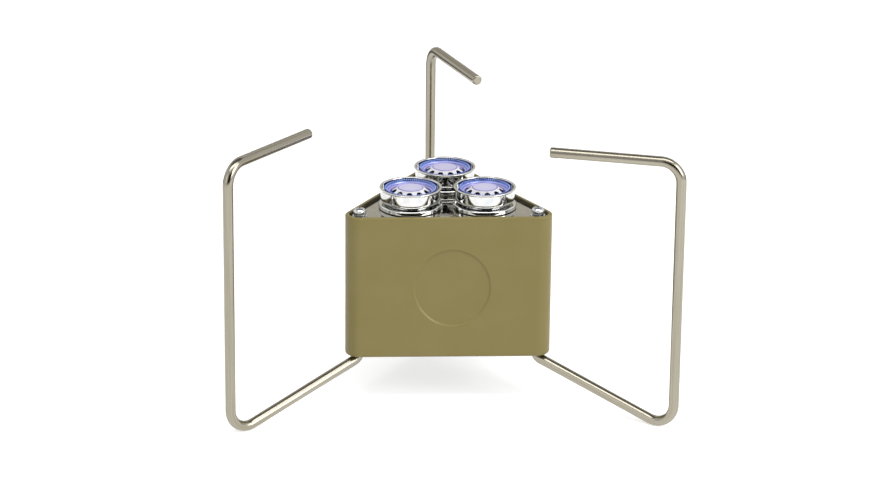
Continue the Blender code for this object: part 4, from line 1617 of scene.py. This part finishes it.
@dataclass
class GasInlet:
    """The threaded inlet at the back, with its hexagon and its seal, made along +Z from the wall."""

    place: Matrix
    thread_radius: float = 0.0048
    thread_pitch: float = 0.0010
    thread_depth: float = 0.0006
    # How far down each turn of the thread its crest starts and ends, and its root starts and ends.
    crest: tuple[float, float] = (0.00035, 0.00045)
    root: tuple[float, float] = (0.0008, 0.0009)
    relief: float = 0.0002
    hex_width: float = 0.0140
    hex_height: float = 0.0035
    # How far the hexagon reaches into the tube, and where the tool ends that opens it.
    hex_overlap: float = 0.0010
    core_end: float = 0.0200
    turned_share: float = 0.58
    turned_margin: float = 0.0001
    seal: float = 0.0008
    seal_edge: float = 0.00015
    stub: float = 0.0090
    inner: float = -0.0095
    bore: float = 0.0010
    pipe_seat: float = 0.0023
    seat_depth: float = 0.0038

    def shank(self, hexed: float, end: float) -> Shape:
        """Makes the fitting without its hexagon.

        Args:
            hexed: Height of the hexagon's outer face.
            end: Height of the fitting's outer end.

        Returns:
            The threaded tube, with the socket of the feed pipe in its inner end.
        """
        outer, root = self.thread_radius, self.thread_radius - self.thread_depth
        corners = [(self.bore, end), (root, end), (root, end - self.relief)]
        level = end - 2 * self.relief
        while level > hexed + self.thread_pitch:
            corners += [(outer, level - down) for down in self.crest]
            corners += [(root, level - down) for down in self.root]
            level -= self.thread_pitch
        corners += [(root, hexed - self.relief), (outer, hexed - self.relief), (outer, self.inner)]
        socket_end = self.inner + self.seat_depth
        corners += [(self.pipe_seat, self.inner), (self.pipe_seat, socket_end), (self.bore, socket_end)]
        return revolve(corners, Sides.LARGE)

    def fitting(self) -> Shape:
        """Makes the brass fitting.

        Returns:
            The fitting: a thread at its outer end and a hexagon whose corners are turned down.
        """
        face = SEAT_GAP + self.seal + SEAT_GAP
        hexed = face + self.hex_height
        flat, point = self.hex_width / 2, self.hex_width / 2 / math.cos(math.pi / 6)
        rim, past = (point - flat) * self.turned_share, point + self.turned_margin
        cone = [(0, face), (flat, face), (past, face + rim), (past, hexed - rim), (flat, hexed), (0, hexed)]
        turned_down = revolve(cone, Sides.BROAD, closed=False)
        nut = carve(prism([circle(point, Sides.HEXAGON)], face, hexed), turned_down, Cut.KEEP_COMMON)
        core = circle(self.thread_radius - self.hex_overlap, Sides.LARGE)
        collar = carve(nut, prism([core], self.inner, self.core_end))
        return carve(self.shank(hexed, hexed + self.stub), collar, Cut.JOIN)

    def gasket(self) -> Shape:
        """The flat seal between the hexagon and the wall, with rounded edges."""
        outer, hole = self.hex_width / 2, self.thread_radius + SEAT_GAP
        return revolve(ring_section(outer, hole, SEAT_GAP, SEAT_GAP + self.seal, self.seal_edge), Sides.BROAD)

    def build(self, bench: Bench) -> None:
        """Makes the inlet's two visible pieces.

        Args:
            bench: The bench that finishes the pieces.
        """
        bench.deliver(moved(self.fitting(), self.place), "inlet_stub", "brass", BODY, ["inlet_fitting"])
        bench.deliver(moved(self.gasket(), self.place), "inlet_gasket", "polymer", BODY, ["inlet_seal"])


@dataclass(frozen=True)
class HiddenWorks:
    """The gas works inside the casing, which keep their CAD shapes and get the bench's materials."""

    brass: tuple[str, ...] = ("gas_distributor", "feed_pipe")
    brass_each: tuple[str, ...] = ("mixing_tube", "jet")
    zinc: tuple[str, ...] = ("inlet_nut",)
    zinc_each: tuple[str, ...] = ("burner_nut",)

    def build(self, bench: Bench, nodes: Mapping[str, bpy.types.Object]) -> None:
        """Dresses the hidden nodes.

        Args:
            bench: The bench that holds the materials.
            nodes: The CAD nodes by name.
        """
        kinds = (("brass", self.brass, self.brass_each), ("bright_zinc", self.zinc, self.zinc_each))
        for slot, single, each in kinds:
            for name in (*single, *(f"{name}_{station.key}" for name in each for station in Station)):
                bench.repaint(nodes, name, slot)


@dataclass(frozen=True)
class Softbox:
    """One area lamp that looks at the stove. Its sides are in metres and its power in watts."""

    name: str
    azimuth: float
    elevation: float
    distance: float
    width: float
    height: float
    power: float


@dataclass(frozen=True)
class Card:
    """A flat card that reflections see, as a photographer sets round shiny metal.

    Each card glows evenly in its own grey. One that shades also holds back the light of the surround,
    and its glow lights the stove a little from above.
    """

    name: str
    centre: tuple[float, float, float]
    normal: tuple[float, float, float]
    width: float
    height: float
    grey: str
    shades: bool = False


@dataclass
class Studio:
    """Floor, white surround, lamps, cards and the camera, which stands where the photograph's stood."""

    floor_level: float
    floor_radius: float = 4.0
    aim: Vector = field(default_factory=lambda: Vector((0.00093, 0.0, 0.04943)))
    camera_distance: float = 1.6701
    camera_azimuth: float = -92.833
    camera_elevation: float = 19.649
    camera_roll: float = 0.63
    lens: float = 136.607
    sensor_width: float = 36.0
    clip_start: float = 0.05
    # What the surround gives to everything but the eye, and what lifts the floor to white for the eye.
    ambient: float = 0.42
    floor_lift: float = 0.62
    lamps: tuple[Softbox, ...] = (
        Softbox("key", -34, 27, 1.6, 1.0, 1.0, 14.4),
        Softbox("fill", -130, 20, 1.8, 1.4, 1.0, 3),
        Softbox("over", -86, 72, 1.4, 1.6, 0.6, 12),
    )
    cards: tuple[Card, ...] = (
        Card("dark_room", (0, -2.4, 1.1), (0, 1, 0), 3.4, 2.0, "161616"),
        Card("ceiling", (0, 0, 1.6), (0, 0, -1), 2.4, 2.4, "6E6E6C", True),
        Card("grey_wall", (0, 2.2, 0.8), (0, -1, 0), 3.4, 1.6, "D3D0C7"),
        Card("grey_floor", (0, 1.1, -0.02), (0, 0, 1), 3.4, 1.5, "8A887E"),
    )

    def direction(self, azimuth: float, elevation: float) -> Vector:
        """The unit vector from the stove towards this azimuth and elevation, in degrees."""
        level = math.cos(math.radians(elevation))
        return polar(level, math.radians(azimuth), math.sin(math.radians(elevation)))

    def seen_directly(self, material: Any) -> Any:
        """Adds the test for what the eye sees: camera rays, and rays that metal or glass sends on.

        Args:
            material: The material or the world that takes the nodes.

        Returns:
            The socket that reads 1 for such rays and 0 for all others.
        """
        rays = add_node(material, "ShaderNodeLightPath").outputs
        larger = {"operation": "MAXIMUM"}
        pair = {0: rays["Is Camera Ray"], 1: rays["Is Glossy Ray"]}
        first = add_node(material, "ShaderNodeMath", larger, pair).outputs["Value"]
        either = {0: first, 1: rays["Is Transmission Ray"]}
        return add_node(material, "ShaderNodeMath", larger, either).outputs["Value"]

    def lay_floor(self) -> None:
        """Lays a matt white floor, lifted to white where the eye sees it, which keeps the stove's shadow."""
        material = emptied(bpy.data.materials.new("matt white floor"))
        paint = add_node(material, "ShaderNodeBsdfDiffuse", {"Color": linear("E6E6E6")})
        strength = {"operation": "MULTIPLY", 1: self.floor_lift}
        lift = add_node(material, "ShaderNodeMath", strength, {0: self.seen_directly(material)})
        glow = add_node(material, "ShaderNodeEmission", links={"Strength": lift.outputs["Value"]})
        sources = {0: paint.outputs["BSDF"], 1: glow.outputs["Emission"]}
        both = add_node(material, "ShaderNodeAddShader", links=sources)
        add_node(material, "ShaderNodeOutputMaterial", links={"Surface": both.outputs["Shader"]})
        shape = bmesh.new()
        spot = Matrix.Translation((0, 0, self.floor_level))
        bmesh.ops.create_circle(
            shape, cap_ends=True, segments=Sides.BROAD, radius=self.floor_radius, matrix=spot
        )
        floor = as_object(shape, "studio_floor")
        floor.data.materials.append(material)
        floor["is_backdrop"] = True

    def surround(self) -> None:
        """Makes the surround: white to the eye, and a soft even light to everything else."""
        world = emptied(bpy.data.worlds.new("white surround"))
        levels = {"To Min": self.ambient, "To Max": 1.0}
        level = add_node(world, "ShaderNodeMapRange", levels, {"Value": self.seen_directly(world)})
        white = {"Color": linear("FFFFFF")}
        glow = add_node(world, "ShaderNodeBackground", white, {"Strength": level.outputs["Result"]})
        add_node(world, "ShaderNodeOutputWorld", links={"Surface": glow.outputs["Background"]})
        bpy.context.scene.world = world

    def hang_lamps(self) -> None:
        """Hangs the soft lamps, which all look at the stove."""
        for box in self.lamps:
            lamp = bpy.data.lights.new(box.name, "AREA")
            lamp.shape = "RECTANGLE"
            lamp.size, lamp.size_y = box.width, box.height
            lamp.energy = box.power
            obj = bpy.data.objects.new(box.name, lamp)
            outward = self.direction(box.azimuth, box.elevation)
            turn = outward.to_track_quat("Z", "Y").to_matrix().to_4x4()
            obj.matrix_world = Matrix.Translation(self.aim + outward * box.distance) @ turn
            bpy.context.scene.collection.objects.link(obj)

    def set_cards(self) -> None:
        """Sets up the cards that give the polished metal its dark streaks."""
        for card in self.cards:
            material = emptied(bpy.data.materials.new(card.name))
            paint = add_node(material, "ShaderNodeEmission", {"Color": linear(card.grey)})
            add_node(material, "ShaderNodeOutputMaterial", links={"Surface": paint.outputs["Emission"]})
            shape = bmesh.new()
            stretch = Matrix.Diagonal((card.width, card.height, 1, 1))
            turn = Vector(card.normal).to_track_quat("Z", "Y").to_matrix().to_4x4()
            place = Matrix.Translation(card.centre) @ turn @ stretch
            bmesh.ops.create_grid(shape, x_segments=1, y_segments=1, size=0.5, matrix=place)
            obj = as_object(shape, card.name)
            obj.data.materials.append(material)
            obj.visible_camera = obj.visible_transmission = False
            obj.visible_diffuse = obj.visible_shadow = card.shades
            obj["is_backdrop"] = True

    def stand_camera(self) -> None:
        """Stands the camera up, with the little roll that the photograph has."""
        camera = bpy.data.cameras.new("camera")
        camera.lens = self.lens
        camera.sensor_width = self.sensor_width
        camera.clip_start = self.clip_start
        out = self.direction(self.camera_azimuth, self.camera_elevation)
        side = (-out).cross(Vector((0, 0, 1))).normalized()
        up = side.cross(-out)
        cos, sin = math.cos(math.radians(self.camera_roll)), math.sin(math.radians(self.camera_roll))
        turn = Matrix((side * cos + up * sin, up * cos - side * sin, out)).transposed().to_4x4()
        obj = bpy.data.objects.new("camera", camera)
        obj.matrix_world = Matrix.Translation(self.aim + out * self.camera_distance) @ turn
        bpy.context.scene.collection.objects.link(obj)
        bpy.context.scene.camera = obj

    def build(self) -> None:
        """Sets up the whole studio."""
        self.lay_floor()
        self.surround()
        self.hang_lamps()
        self.set_cards()
        self.stand_camera()
        bpy.context.scene.view_settings.view_transform = "Standard"


def main() -> None:
    """Builds every piece in order."""
    logging.basicConfig(level=logging.INFO, format="%(name)s: %(message)s")
    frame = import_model()
    cad_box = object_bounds()
    bench = Bench({finish.slot: finish.build() for finish in FINISHES})

    places = pivots(frame["joints"])
    casing = Casing(pivot_radius=places[Station.REAR].y)
    casing.build(bench)
    for station, pivot in places.items():
        FoldingLeg(station, pivot, LEG_TURNS[station]).build(bench)
        Burner(station).build(bench)
    GasInlet(casing.inlet_place()).build(bench)
    HiddenWorks().build(bench, frame["nodes"])
    Studio(floor_level=cad_box[0][2]).build()
    log.info("%d pieces finished", bench.count)


if __name__ == "__main__":
    main()
